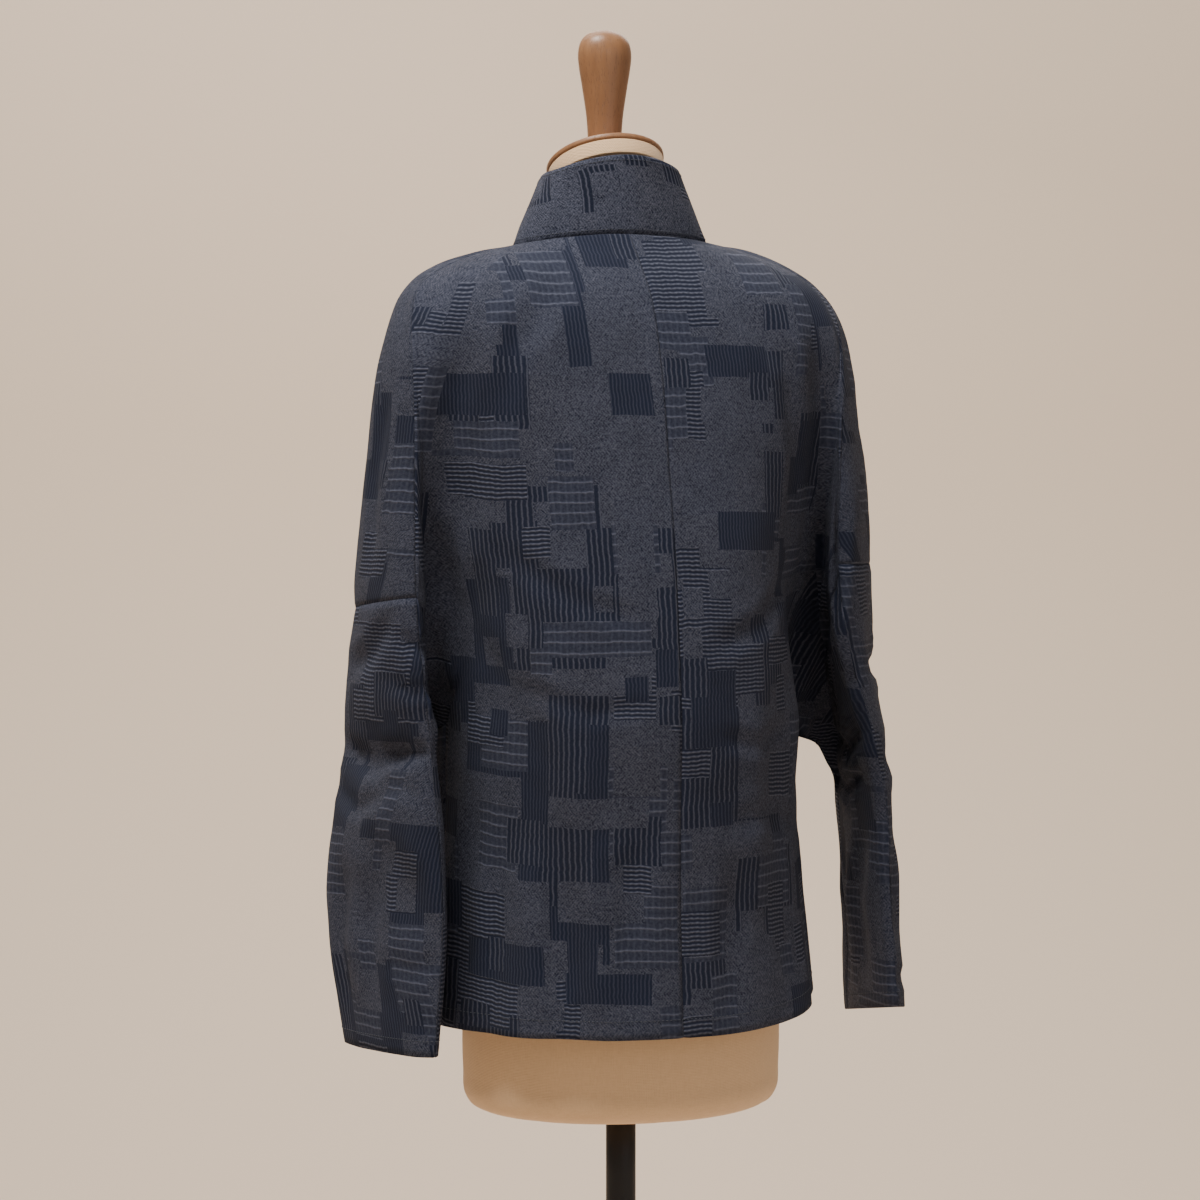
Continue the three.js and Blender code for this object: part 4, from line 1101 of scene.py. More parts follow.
def shell(name, net):
    """A closed shell mesh in metres, with the place on the flat cloth as its UV map."""
    grid = net["grid"]
    corners4 = cell_corners(net)
    used = np.zeros(grid.shape[:2], bool)
    for r, c in corners4:
        used[r, c] = True
    number = np.full(grid.shape[:2], -1)
    number[used] = np.arange(used.sum())
    points = grid[used]
    point_keys = [tuple(k) for k in place_keys(points)]
    normals = np.array([shared_normal[k] for k in point_keys])
    points = points + normals * crease_heights(points, normals, net["arm"][used])[:, None]
    quads = np.stack([number[r, c] for r, c in corners4], axis=1)
    sides = np.concatenate([quads[:, (k, (k + 1) % 4)] for k in range(4)])
    seen = {tuple(s) for s in sides}
    rim = [s for s in seen if (s[1], s[0]) not in seen]
    place = {number[r, c]: (r, c) for r, c in zip(*np.nonzero(used))}
    outer, inner, middle = points.copy(), points - normals * CLOTH_THICK, {}
    for k in {int(i) for s in rim for i in s}:
        pull = outward_pull(net, *place[k])
        sewn = owners[point_keys[k]] > 1
        shift = pull * (-SEAM_GAP / 2 if sewn else 0)
        outer[k] += shift - normals[k] * (SEAM_DIP if sewn else HEM_DIP)
        inner[k] += shift
        middle[k] = (outer[k] + inner[k]) / 2 + pull * (SEAM_ROUND if sewn else HEM_ROUND)
    count = len(points)
    ring = {k: 2 * count + n for n, k in enumerate(middle)}
    vertices = np.concatenate([outer, inner, np.array(list(middle.values()))])
    faces = [tuple(q) for q in quads] + [tuple(q + count) for q in quads[:, ::-1]]
    for a, b in rim:
        faces.append((b, a, ring[a], ring[b]))
        faces.append((ring[b], ring[a], a + count, b + count))
    mesh = mesh_of(name, (vertices + (0, 0, NAPE_HEIGHT)) * MM, faces)
    everyone = np.concatenate([np.arange(count), np.arange(count), list(middle)]).astype(int)
    lay_flat(mesh, net, used, everyone[np.array(faces)])
    for kind, values in (("outer", outer), ("normals", normals)):
        net[kind] = np.full(grid.shape, np.nan)
        net[kind][used] = values
    return mesh


cloth_pieces = {}
for name, net in nets.items():
    cloth_pieces[name] = link(name + "_cloth", shell(name + "_cloth", net))
areas = {}
for name, net in nets.items():
    p, q, r, s = (net["grid"][i, j] for i, j in cell_corners(net))
    areas[name] = float(np.linalg.norm(np.cross(r - p, s - q), axis=1).sum() / 2) * MM * MM
print("areas in square metres:", {name: round(a, 3) for name, a in areas.items()})
print("triangles:", sum(len(o.data.polygons) * 2 for o in cloth_pieces.values()))

# %% [markdown]
# ## The form and its stand
# Under the cloth is a linen-covered form on a pole, with a turned wooden knob. Its sections are
# rings, and its smooth surface runs through them. It could be sculpted, but rings keep the same
# clear space to the cloth all the way up, and close its ends with flat discs.

# %% Torso
FORM = [
    # height, half width, depth behind, depth in front
    (-694, 118, 100, 93), (-691, 124, 106, 99), (-684, 128.5, 110.5, 102.5), (-665, 130, 112, 104),
    (-600, 130, 112, 104), (-480, 122, 108, 100), (-400, 112, 106, 104), (-310, 106, 102, 101),
    (-230, 111, 96, 99), (-165, 128, 86, 92), (-116, 140, 80, 84), (-84, 150, 72, 78),
]
NECK_RINGS = [(-15.6, 62, 56, 44), (-4, 51, 46, 42)]
FORM_SIDES = 96
SHOULDER_CLEARANCE = 0.5
WALL = 2
COVER_INSET = 0.8
NECK = {
    "y": -36, "tilt": 0.43, "top": 57, "capRadius": 47, "capTall": 13, "discTall": 5, "baseRadius": 46,
}


def form_ring(z, half, back, front, y=0.0, square=1.0):
    """A level ring of the trunk, squarer in front where square is above 1."""
    ring = []
    for j in range(FORM_SIDES):
        a = -WHOLE * j / FORM_SIDES
        s, c = math.sin(a), math.cos(a)
        power = lerp(1, square, 0.5) if c >= 0 else square
        deep = back if c >= 0 else front
        ring.append((half * signed(s, power), y + deep * signed(c, power), z))
    return np.array(ring)


def circle(radius, z, sides, y=0.0, oval=1.0):
    """A level ring of a turned piece."""
    a = -WHOLE * np.arange(sides) / sides
    return np.stack([radius * np.sin(a), y + radius * oval * np.cos(a), np.full(sides, z)], axis=1)


def tilted_ring(radius, along, sides=FORM_SIDES):
    """A ring square to the neck, which leans forward."""
    x, deep, along = circle(radius, along, sides).T
    lean, rise = math.sin(NECK["tilt"]), math.cos(NECK["tilt"])
    y = NECK["y"] + deep * rise - along * lean
    return np.stack([x, y, NECK["top"] + deep * lean + along * rise], axis=1)


def trunk_rings():
    """Rings up the trunk, over shoulders that stay below the yoke, to the neck's slanting end."""
    rings = [form_ring(*level) for level in FORM]
    edge_line = [{"z": r["edge"][2], "y": -r["edge"][1]} for r in YOKE]
    for row in (yoke_row(i) for i in (5, 4, 3, 2, 1)):
        seam, other = yoke_value(row, "left"), yoke_value(row, "right")
        drop = WALL + SHOULDER_CLEARANCE + (2 if row > 1 else 0)
        z = min(seam[2], other[2]) - drop
        y = min(seam[1], other[1])
        back = column(YOKE, "back", z + drop + 4) - 7
        front = column(edge_line, "y", z - 6) - 8
        half = min(seam[0], -other[0]) - 1 - 9 * max(0, row - 2.8)
        rings.append(form_ring(z, half, back - y, max(front + y, 42), y, lerp(2, 1.1, row / 4)))
    rings += [form_ring(z, half, back, front, NECK["y"]) for z, half, back, front in NECK_RINGS]
    rings.append(tilted_ring(NECK["baseRadius"] - 2, -NECK["capTall"] - SEAM_GAP))
    return rings


def loft(name, rings, lift=NAPE_HEIGHT):
    """A closed mesh through rings of points from bottom to top."""
    rings = np.array(rings)
    count, sides = rings.shape[:2]
    middles = np.array([rings[0].mean(0), rings[-1].mean(0)])
    vertices = np.concatenate([rings.reshape(-1, 3), middles])
    low, high = count * sides, count * sides + 1
    faces = []
    for j in range(sides):
        k = (j + 1) % sides
        faces += [(low, k, j), (high, low - sides + j, low - sides + k)]
        for i in range(0, low - sides, sides):
            faces.append((i + j, i + k, i + sides + k, i + sides + j))
    return mesh_of(name, (vertices + (0, 0, lift)) * MM, faces)


def inward(rings, amount):
    """The same rings, smaller by an amount in mm all round."""
    small = []
    for ring in rings:
        off = ring - ring.mean(0)
        far = np.linalg.norm(off, axis=1, keepdims=True)
        small.append(ring.mean(0) + off * (1 - amount / far))
    return np.array(small)


COVER_SEAMS = [0, 14, 34, 48, 62, 82]  # which of the 96 steps round have a seam of the cover
SEAM_GROOVE = ((-1, 0.35), (0, 1.0), (1, 0.35))  # step beside the seam, depth
torso_rings = fill(inward(trunk_rings(), COVER_INSET))
for ring in torso_rings:
    off = ring - ring.mean(0)
    for j in COVER_SEAMS:
        for step, dip in SEAM_GROOVE:
            k = (j + step) % FORM_SIDES
            ring[k] -= unit(off[k]) * dip
torso = link("form_cover", loft("form_cover", torso_rings))
print("torso rings:", len(torso_rings))


# %% Cap, disc and turned knob
BEVEL_STEPS = 5


def rounded_rings(radius, low, high, bevel):
    """Rings of a disc on the neck, with rounded edges."""
    lower, upper = [], []
    for k in range(BEVEL_STEPS + 1):
        a = k / BEVEL_STEPS * QUARTER
        inset, rise = bevel * (1 - math.sin(a)), bevel * (1 - math.cos(a))
        lower.append(tilted_ring(radius - inset, low + rise))
        upper.append(tilted_ring(radius - rise, high - inset))
    return lower + upper


cap_rings = rounded_rings(NECK["capRadius"], -NECK["capTall"], 0, 1.2)
cap = link("neck_cap_cloth", loft("neck_cap_cloth", cap_rings))
disc_rings = rounded_rings(NECK["capRadius"] + 0.8, SEAM_GAP, NECK["discTall"], 1.6)
disc = link("neck_disc_turned", loft("neck_disc_turned", disc_rings))
HANDLE = [
    (0, 14), (12, 13.8), (34, 15), (58, 18.5), (76, 21.4), (86, 22), (95, 20), (101, 15), (104, 8),
]
HANDLE_OVAL = 0.8
HANDLE_SIDES = 64
HANDLE_HEIGHTS = list(np.linspace(12, 86, 30)) + [88.5, 91, 93, 95, 97, 99, 101, 102.4, 103.4, 104]
HANDLE_CROWN = ((0.6, 0.5), (0.25, 0.8))  # share of the top ring's radius, height above it


def knob_rings():
    """A slanting foot on the disc, then upright oval rings to a soft crown."""
    radii = [{"z": -z, "r": r} for z, r in HANDLE]
    lean = NECK["discTall"] + SEAM_GAP
    y = NECK["y"] - lean * math.sin(NECK["tilt"])
    base = NECK["top"] + lean * math.cos(NECK["tilt"])
    rings = [tilted_ring(HANDLE[0][1], lean, HANDLE_SIDES)]
    for z in HANDLE_HEIGHTS:
        rings.append(circle(column(radii, "r", -z), base + z, HANDLE_SIDES, y, HANDLE_OVAL))
    top = rings[-1]
    for share, rise in HANDLE_CROWN:
        rings.append(top.mean(0) + (top - top.mean(0)) * share + (0, 0, rise))
    return rings


knob = link("handle_turned", loft("handle_turned", knob_rings()))
print("knob top in mm:", round(max(v.co.z for v in knob.data.vertices) / MM, 1))

# %% Stand
STAND = {"pole": 12, "base": 200, "tall": 12, "collar": 26, "collarTall": 36, "sides": 96}


def stand_outline():
    """Radius and height up the outside, with small rounded edges."""
    base, tall, collar, pole = STAND["base"], STAND["tall"], STAND["collar"], STAND["pole"]
    neck = tall + STAND["collarTall"]
    line = [(base - 3, 0), (base - 0.8, 0.6), (base, 2)]
    line += [(base, tall * 0.6 - 1), (base - 0.5, tall * 0.6 + 1)]
    line += [(base - tall * 0.4, tall), (base - tall * 0.4 - 3, tall + 0.3)]
    line += [(collar + 14, tall + 3.4), (collar + 4, tall + 4.6)]
    line += [(collar + 1, tall + 7), (collar, tall + 10)]
    line += [(collar, neck - 2), (collar - 0.6, neck - 0.6), (collar - 2, neck)]
    line += [(pole + 2, neck + 3.4), (pole, neck + 4.6)]
    top = NAPE_HEIGHT + FORM[0][0] - SEAM_GAP
    return line + [(pole, z) for z in np.linspace(neck + 40, top, 12)]


stand_rings = [circle(radius, z, STAND["sides"]) for radius, z in stand_outline()]
pole = link("stand_metal", loft("stand_metal", stand_rings, 0))
print("stand height in mm:", round(max(v.co.z for v in pole.data.vertices) / MM, 1))

# %% [markdown]
# ## The ties
# The wrap closes with two cloth ties, knotted at the wearer's right side. Their tails hang along
# the front piece. Each is a folded strip with stitched edges, so it is a thin shell with a soft
# crown, a slight twist and a free end that curls off the cloth a little.

# %% Tails
TIE = {"z": -444, "turn": -1.9, "width": 12, "seat": 6.2, "drop": 7.4, "lift": 2.0}
TAILS = {
    "front": {"shift": -0.058, "drift": -0.04, "length": 150, "phase": 0.4},
    "back": {"shift": 0.058, "drift": 0.01, "length": 168, "phase": 2.3},
}
TAIL_ROWS, TAIL_COLUMNS, TAIL_THICK = 60, 8, 1.2
TIE_BOLT = (5.6, 5.9)  # where the tails and the knot are cut from the bolt, in metres
CROWN, CURL, SWAY = 0.5, 1.0, 0.012


def tail_surface(shift, drift, length, phase):
    """A grid of points down a tail's outer face, and their places on the flat strip."""
    half = TIE["width"] / 2 / FOLD_RADIUS
    outer, flat = [], []
    for i in range(TAIL_ROWS + 1):
        share = i / TAIL_ROWS
        sway = SWAY * math.sin(phase + 5.2 * share) * share
        middle = TIE["turn"] + shift + drift * share + sway
        z = TIE["z"] - TIE["drop"] - length * share
        for j in range(TAIL_COLUMNS + 1):
            across = 2 * j / TAIL_COLUMNS - 1
            curl = CURL * ease(share) * (1 + math.sin(phase * 2 + 7 * share + across))
            lift = TIE["lift"] + CROWN * (1 - across ** 2) + curl
            narrow = lerp(0.82, 1, ease(share * 5))
            outer.append(body_point(z, middle + across * half * narrow, -lift))
            flat.append((TIE_BOLT[0] + across * TIE["width"] / 2 * MM, -share * length * MM))
    return np.array(outer).reshape(TAIL_ROWS + 1, TAIL_COLUMNS + 1, 3), np.array(flat + flat)


def tail_mesh(name, sizes):
    """A thin closed strip that follows the creases of the front below it."""
    outer, flat = tail_surface(**sizes)
    down, side = np.gradient(outer, axis=0), np.gradient(outer, axis=1)
    normal = np.cross(down, side)
    normal /= np.linalg.norm(normal, axis=2, keepdims=True)
    if (normal * outer * (1, 1, 0)).sum() < 0:
        normal = -normal
    spots, ways = outer.reshape(-1, 3), normal.reshape(-1, 3)
    moved = crease_heights(spots, ways, np.zeros(len(spots))).reshape(outer.shape[:2])
    outer = outer + normal * moved[..., None]
    inner = outer - normal * TAIL_THICK
    count, width = len(spots), TAIL_COLUMNS + 1
    faces, sides = [], []
    for i in range(TAIL_ROWS):
        for a in range(i * width, i * width + TAIL_COLUMNS):
            quad = (a, a + width, a + width + 1, a + 1)
            faces += [quad, tuple(k + count for k in quad[::-1])]
            sides += [(quad[k], quad[(k + 1) % 4]) for k in range(4)]
    seen = set(sides)
    faces += [(b, a, a + count, b + count) for a, b in sides if (b, a) not in seen]
    vertices = np.concatenate([outer.reshape(-1, 3), inner.reshape(-1, 3)])
    mesh = mesh_of(name, (vertices + (0, 0, NAPE_HEIGHT)) * MM, faces)
    work = bmesh.new()
    work.from_mesh(mesh)
    bmesh.ops.recalc_face_normals(work, faces=work.faces)
    work.to_mesh(mesh)
    work.free()
    layer = mesh.uv_layers.new(name="flat_cloth")
    loop_vertex = np.zeros(len(mesh.loops), int)
    mesh.loops.foreach_get("vertex_index", loop_vertex)
    layer.data.foreach_set("uv", flat[loop_vertex].ravel())
    return mesh


tails = {}
for which, sizes in TAILS.items():
    title = "tie_tail_" + which
    tails[which] = link(title + "_cloth", tail_mesh(title + "_cloth", sizes))
print("tails:", {name: len(t.data.vertices) for name, t in tails.items()})


# %% Knot
WRAPS = [(0.5, 5.2, 7.6), (-0.7, 4.6, 7.0)]  # turn, half width and radius of each wrap
WRAP_STEPS, WRAP_COLUMNS = 24, 8


def knot_mesh():
    """Two crossing wraps round a small core, each a flattened loop of the strip."""
    centre = body_point(TIE["z"], TIE["turn"], -TIE["seat"])
    outward = unit(centre * (1, 1, 0))
    centre = centre + outward * crease_heights(centre[None], outward[None], np.zeros(1))[0]
    along = unit(np.cross((0, 0, 1), outward))
    up = np.array((0, 0, 1.0))
    work = bmesh.new()
    flat = work.loops.layers.uv.new("flat_cloth")
    for turned, wide, radius in WRAPS:
        axis = along * math.cos(turned) + up * math.sin(turned)
        cross_axis = np.cross(outward, axis)
        rows = []
        for i in range(WRAP_STEPS + 1):
            a = WHOLE * i / WRAP_STEPS
            ray = outward * math.cos(a) * 0.82 + cross_axis * math.sin(a) * 1.15
            ring = []
            for j in range(WRAP_COLUMNS + 1):
                t = 2 * j / WRAP_COLUMNS - 1
                bulge = radius * (1 - 0.30 * t * t) + 0.5 * math.sin(3 * a + 2 * t)
                place = centre + ray * bulge + axis * wide * t + up * NAPE_HEIGHT
                ring.append(work.verts.new(place * MM))
            rows.append(ring)
        for i, j in np.ndindex(WRAP_STEPS, WRAP_COLUMNS):
            corners = ((i, j), (i + 1, j), (i + 1, j + 1), (i, j + 1))
            face = work.faces.new([rows[p][q] for p, q in corners])
            face.smooth = True
            for loop, (p, q) in zip(face.loops, corners):
                loop[flat].uv = (TIE_BOLT[1] + q * 1.3 * MM, p * 1.6 * MM)
        bmesh.ops.holes_fill(work, edges=[e for e in work.edges if e.is_boundary], sides=30)
    bmesh.ops.remove_doubles(work, verts=work.verts, dist=1e-6)
    bmesh.ops.holes_fill(work, edges=[e for e in work.edges if e.is_boundary], sides=30)
    bmesh.ops.recalc_face_normals(work, faces=work.faces)
    mesh = bpy.data.meshes.new("tie_knot_cloth")
    work.to_mesh(mesh)
    work.free()
    return mesh


knot = link("tie_knot_cloth", knot_mesh())
print("knot faces:", len(knot.data.polygons))

# %% [markdown]
# ## Nodes written as sums
# Stitches and finishes are trees of nodes. The first class wraps a socket so that its sums read as
# sums, and each one adds a Math node. Colours are mixed by a Mix node, because a Math node would
# turn them grey. The second class holds a tree, and one method adds any other node to it.


# %% Sockets as numbers
class Wire:
    """A socket's value, for use in arithmetic."""

    def __init__(self, maker, socket):
        self.maker, self.socket = maker, socket

    def math(self, operation, *others):
        return self.maker.node("ShaderNodeMath", {"operation": operation}, dict(enumerate((self, *others))))

    def __rsub__(self, other):
        return self.maker.node("ShaderNodeMath", {"operation": "SUBTRACT"}, {0: other, 1: self})

    def wave(self, pitch, sharp=1.0):
        """0 to 1 and back once in each pitch, narrow where sharp is high."""
        swing = (self * (2 * math.pi / pitch)).math("COSINE") * 0.5 + 0.5
        return swing if sharp == 1 else swing ** sharp

    def over(self, below, mask):
        """This value where mask is 1, and the one below elsewhere."""
        return self.maker.node("ShaderNodeMix", {"data_type": "FLOAT"}, {0: mask, 2: below, 3: self})


OPERATORS = {
    "__add__": "ADD", "__radd__": "ADD", "__sub__": "SUBTRACT", "__mul__": "MULTIPLY",
    "__rmul__": "MULTIPLY", "__truediv__": "DIVIDE", "__pow__": "POWER", "__lt__": "LESS_THAN",
    "__gt__": "GREATER_THAN", "floor": "FLOOR", "fract": "FRACT",
}
for method, operation in OPERATORS.items():
    setattr(Wire, method, lambda self, *others, operation=operation: self.math(operation, *others))


class Nodes:
    """A tree of nodes under construction."""

    def __init__(self, tree):
        self.tree = tree

    def node(self, kind, settings=None, sockets=None, out=0):
        """Adds any node: its settings first, then the values or links of its sockets."""
        made = self.tree.nodes.new(kind)
        for key, value in (settings or {}).items():
            setattr(made, key, value)
        for key, value in (sockets or {}).items():
            socket = made.inputs[key]
            if isinstance(value, Wire):
                self.tree.links.new(value.socket, socket)
            else:
                socket.default_value = (*value, 1) if socket.type == "RGBA" else value
        return Wire(self, made.outputs[out]) if made.outputs else None

    def parts(self, vector, count=3):
        """The numbers of a vector, one by one."""
        return [self.node("ShaderNodeSeparateXYZ", None, {0: vector}, k) for k in range(count)]

    def join(self, x, y, z=0.0):
        return self.node("ShaderNodeCombineXYZ", None, {0: x, 1: y, 2: z})


class Finish(Nodes):
    """A material made of nodes."""

    def __init__(self, name):
        self.material = bpy.data.materials.new(name)
        self.material.use_nodes = True
        super().__init__(self.material.node_tree)
        self.tree.nodes.clear()

    def colour(self, factor, below, above):
        """A colour between two, by a factor."""
        return self.node("ShaderNodeMix", {"data_type": "RGBA"}, {0: factor, 6: below, 7: above}, 2)

    def vectors(self, operation, one, other):
        return self.node("ShaderNodeVectorMath", {"operation": operation}, {0: one, 1: other})

    def noise(self, vector, scale, detail=2.0, out=0):
        values = {"Vector": vector, "Scale": scale, "Detail": detail}
        return self.node("ShaderNodeTexNoise", None, values, out)

    def stretched(self, place, size, scale, detail):
        return self.noise(self.vectors("MULTIPLY", place, size), scale, detail)

    def hashed(self, vector):
        """Three random numbers for a place, as a colour's parts."""
        dots = self.node("ShaderNodeTexWhiteNoise", {"noise_dimensions": "3D"}, {"Vector": vector}, 1)
        return [self.node("ShaderNodeSeparateColor", None, {0: dots}, k) for k in range(3)]

    def object_place(self):
        return self.node("ShaderNodeTexCoord", None, None, "Object")

    def bump(self, height, distance, strength):
        values = {"Height": height, "Distance": distance, "Strength": strength}
        return self.node("ShaderNodeBump", None, values, "Normal")

    def surface(self, **values):
        """The shader itself: sockets by name, with _ for a space."""
        sockets = {key.replace("_", " "): value for key, value in values.items()}
        shader = self.node("ShaderNodeBsdfPrincipled", None, sockets, "BSDF")
        self.node("ShaderNodeOutputMaterial", None, {"Surface": shader})
        return self.material


print("operators:", ", ".join(OPERATORS))

# %% [markdown]
# ## Stitches
# The hem, the cuffs and the collar are topstitched with thread a little lighter than the cloth.
# Geometry Nodes lay one short stitch at each step of a line, so the step and the thread can be
# changed in one place. Drawing them in the material would leave them flat.

# %% Lines that the stitches follow
STITCH = {"Step": 3.4, "Stitch length": 2.3, "Thread": 0.32}
STITCH_LIFT = STITCH["Thread"] * 0.4
HEM_TURNING, CUFF_TURNING = 14.0, 12.0  # how far the stitches lie from the edge
SLIT_CLEAR = 20
FEWEST_POINTS = 12


def up_from_edge(column_points, column_normals, distance):
    """The point a distance up a column from its lowest point, just above the cloth."""
    points, normals = column_points[::-1], column_normals[::-1]
    steps = np.linalg.norm(np.diff(points, axis=0), axis=1)
    reach = np.concatenate([[0], np.cumsum(steps)])
    k = int(np.searchsorted(reach, distance)) - 1
    t = (distance - reach[k]) / steps[k]
    return lerp(points[k], points[k + 1], t) + unit(lerp(normals[k], normals[k + 1], t)) * STITCH_LIFT


def stitch_line(net):
    """The line round a hem or a cuff, and none where the side slit is open."""
    outer, normals, body = net["outer"], net["normals"], net["body"]
    last = outer.shape[1] - 1 if body is None else body * FINE
    line = []
    for j in range(last + 1):
        good = ~np.isnan(outer[:, j, 0])
        points = outer[good, j]
        if len(points) < FEWEST_POINTS or (body is not None and points[-1][2] > SLIT_Z + SLIT_CLEAR):
            continue
        distance = CUFF_TURNING if body is None else HEM_TURNING
        line.append(up_from_edge(points, normals[good, j], distance))
    return np.array(line)


hem_lines = [stitch_line(net) for name, net in nets.items() if name != "collar"]
band_outer, band_normals = nets["collar"]["outer"], nets["collar"]["normals"]
collar_lines = [band_outer[:, j] + band_normals[:, j] * STITCH_LIFT for j in (1, -2)]
print("points on hems and cuffs:", [len(line) for line in hem_lines])

# %% The tree that lays them
thread_nodes = Finish("thread")
ply = thread_nodes.noise(thread_nodes.object_place(), 2600.0, 1.0)
thread_finish = thread_nodes.surface(
    Base_Color=thread_nodes.colour(ply, (0.030, 0.036, 0.056), (0.085, 0.092, 0.112)),
    Roughness=0.62 + ply * 0.2,
    Normal=thread_nodes.bump(ply, 0.0002, 0.5),
)


def stitch_tree():
    """A line becomes a curve, and a stretched bead lies at each step of it."""
    tree = bpy.data.node_groups.new("topstitch", "GeometryNodeTree")
    kinds = {"Geometry": "Geometry", **dict.fromkeys(STITCH, "Float"), "Material": "Material"}
    for title, kind in kinds.items():
        tree.interface.new_socket(title, in_out="INPUT", socket_type="NodeSocket" + kind)
    tree.interface.new_socket("Geometry", in_out="OUTPUT", socket_type="NodeSocketGeometry")
    made = Nodes(tree)
    line, step, length, thread, material = (made.node("NodeGroupInput", out=title) for title in kinds)
    curve = made.node("GeometryNodeMeshToCurve", None, {"Mesh": line})
    sockets = {"Curve": curve, "Length": step}
    points = made.node("GeometryNodeCurveToPoints", {"mode": "LENGTH"}, sockets, "Points")
    turns = Wire(made, points.socket.node.outputs["Rotation"])
    bead = made.node("GeometryNodeMeshUVSphere", None, {"Segments": 6, "Rings": 4, "Radius": 1.0})
    size = made.join(thread, thread, length * 0.5)
    sockets = {"Points": points, "Rotation": turns, "Instance": bead, "Scale": size}
    laid = made.node("GeometryNodeInstanceOnPoints", None, sockets)
    real = made.node("GeometryNodeRealizeInstances", None, {"Geometry": laid})
    dressed = made.node("GeometryNodeSetMaterial", None, {"Geometry": real, "Material": material})
    made.node("NodeGroupOutput", None, {"Geometry": dressed})
    return tree


topstitch = stitch_tree()


def stitch_piece(name, lines):
    """One plain mesh with the stitches of some lines."""
    vertices, edges = [], []
    for line in lines:
        start = len(vertices)
        vertices += list((line + (0, 0, NAPE_HEIGHT)) * MM)
        edges += [(start + k, start + k + 1) for k in range(len(line) - 1)]
    mesh = bpy.data.meshes.new(name + "_line")
    mesh.from_pydata(vertices, edges, [])
    guide = link(name + "_guide", mesh)
    modifier = guide.modifiers.new("topstitch", "NODES")
    modifier.node_group = topstitch
    values = {title: size * MM for title, size in STITCH.items()}
    values["Material"] = thread_finish
    for item in topstitch.interface.items_tree:
        if item.in_out == "INPUT" and item.name in values:
            modifier[item.identifier] = values[item.name]
    bpy.context.view_layer.update()
    seen = guide.evaluated_get(bpy.context.evaluated_depsgraph_get())
    made = bpy.data.meshes.new_from_object(seen)
    made.name = name
    bpy.data.objects.remove(guide)
    made.polygons.foreach_set("use_smooth", [True] * len(made.polygons))
    return link(name, made)


body_stitches = stitch_piece("hem_stitches", hem_lines)
collar_stitches = stitch_piece("collar_stitches", collar_lines)
print("stitch faces:", len(body_stitches.data.polygons), len(collar_stitches.data.polygons))

# %% [markdown]
# ## Patchwork jacquard
# The cloth is woven in one piece, and looks like patches of five weaves: a grey melange, an
# upright rib, close cross lines, an open ladder and a plain navy. Here a few layers of boxes of
# different sizes lie over each other. Each box takes a random weave from the number of its cell,
# so the layout is this part's own and never repeats.

# %% Boxes and weaves
NAVY = (0.0079, 0.0118, 0.0288)
THREAD = (0.120, 0.125, 0.162)
COOLER = (0.88, 0.92, 1.0)
LAYERS = table("width height share vary number", [
    # box size in mm, how often it shows, how much its sides vary, number
    (74, 92, 1.0, 0.0, 1), (62, 84, 0.62, 0.26, 2), (46, 58, 0.46, 0.28, 3),
    (30, 84, 0.26, 0.24, 4), (84, 34, 0.24, 0.20, 5), (24, 30, 0.13, 0.22, 6),
])
SHARES = {"ladder": 0.86, "cross": 0.70, "rib": 0.56, "melange": 0.40}  # upper ends, the rest is plain


def boxes(finish, u, v):
    """A random number for each point, the same all over the box on top there."""
    kind = None
    for layer in LAYERS:
        width, height, share, vary, number = layer.values()
        across = (u / width).floor()
        slide = finish.hashed(finish.join(across, number * 7.31, 3.7))[0]
        along = v / height + slide * 5.0
        row = along.floor()
        left, right, present = finish.hashed(finish.join(across, row, number + 0.5))
        low, high, weave = finish.hashed(finish.join(across, row, number + 20.5))
        if kind is None:
            kind = weave
            continue
        x, y = (u / width).fract(), along.fract()
        mask = (x > left * vary) * (x < 1 - right * vary) * (y > low * vary) * (y < 1 - high * vary)
        kind = weave.over(kind, mask * (present < share))
    return kind


def weaves(finish, u, v, kind):
    """How much of the light thread shows, 0 to 1, and how high the surface is."""
    def noise_at(x, y, z, scale, detail):
        return finish.noise(finish.join(x, y, z), scale, detail)

    soft = noise_at(u, v, 0.0, 0.055, 2.0)
    grain = noise_at(u, v, 0.0, 0.42, 2.0)
    fine = noise_at(u, v, 4.0, 0.9, 1.0)
    broken = noise_at(u, v, 7.0, 0.42, 2.0)
    x = u + (noise_at(u * 0.22, v, 0.0, 0.16, 3.0) - 0.5) * 2.4
    y = v + (noise_at(u, v * 0.22, 9.0, 0.16, 3.0) - 0.5) * 2.6
    chevron = ((v / 11.0).fract() > 0.5) * 2 - 1
    twill = (u + v * chevron * 0.8).wave(2.5)
    speckle = (grain - 0.5) * 0.85 + (fine - 0.5) * 0.85
    light = x.wave(3.0, 2.0) * (0.12 + broken * 0.22) + 0.03
    kinds = {
        "ladder": y.wave(8.2, 10.0) * (0.22 + broken * 0.56) + x.wave(5.0, 3.0) * 0.12
        + 0.20 + (grain - 0.5) * 0.5,
        "cross": y.wave(3.4, 1.8) * (0.40 + x.wave(4.4) * 0.34 + broken * 0.36) + 0.03,
        "rib": x.wave(4.3, 4.0) * (0.24 + broken * 0.56) + 0.04 + (fine - 0.5) * 0.12,
        "melange": 0.36 + (twill - 0.5) * 0.18 + speckle + (soft - 0.5) * 0.2,
    }
    for name, value in kinds.items():
        light = value.over(light, kind < SHARES[name])
    return light.math("MAXIMUM", 0.0).math("MINIMUM", 1.0), soft


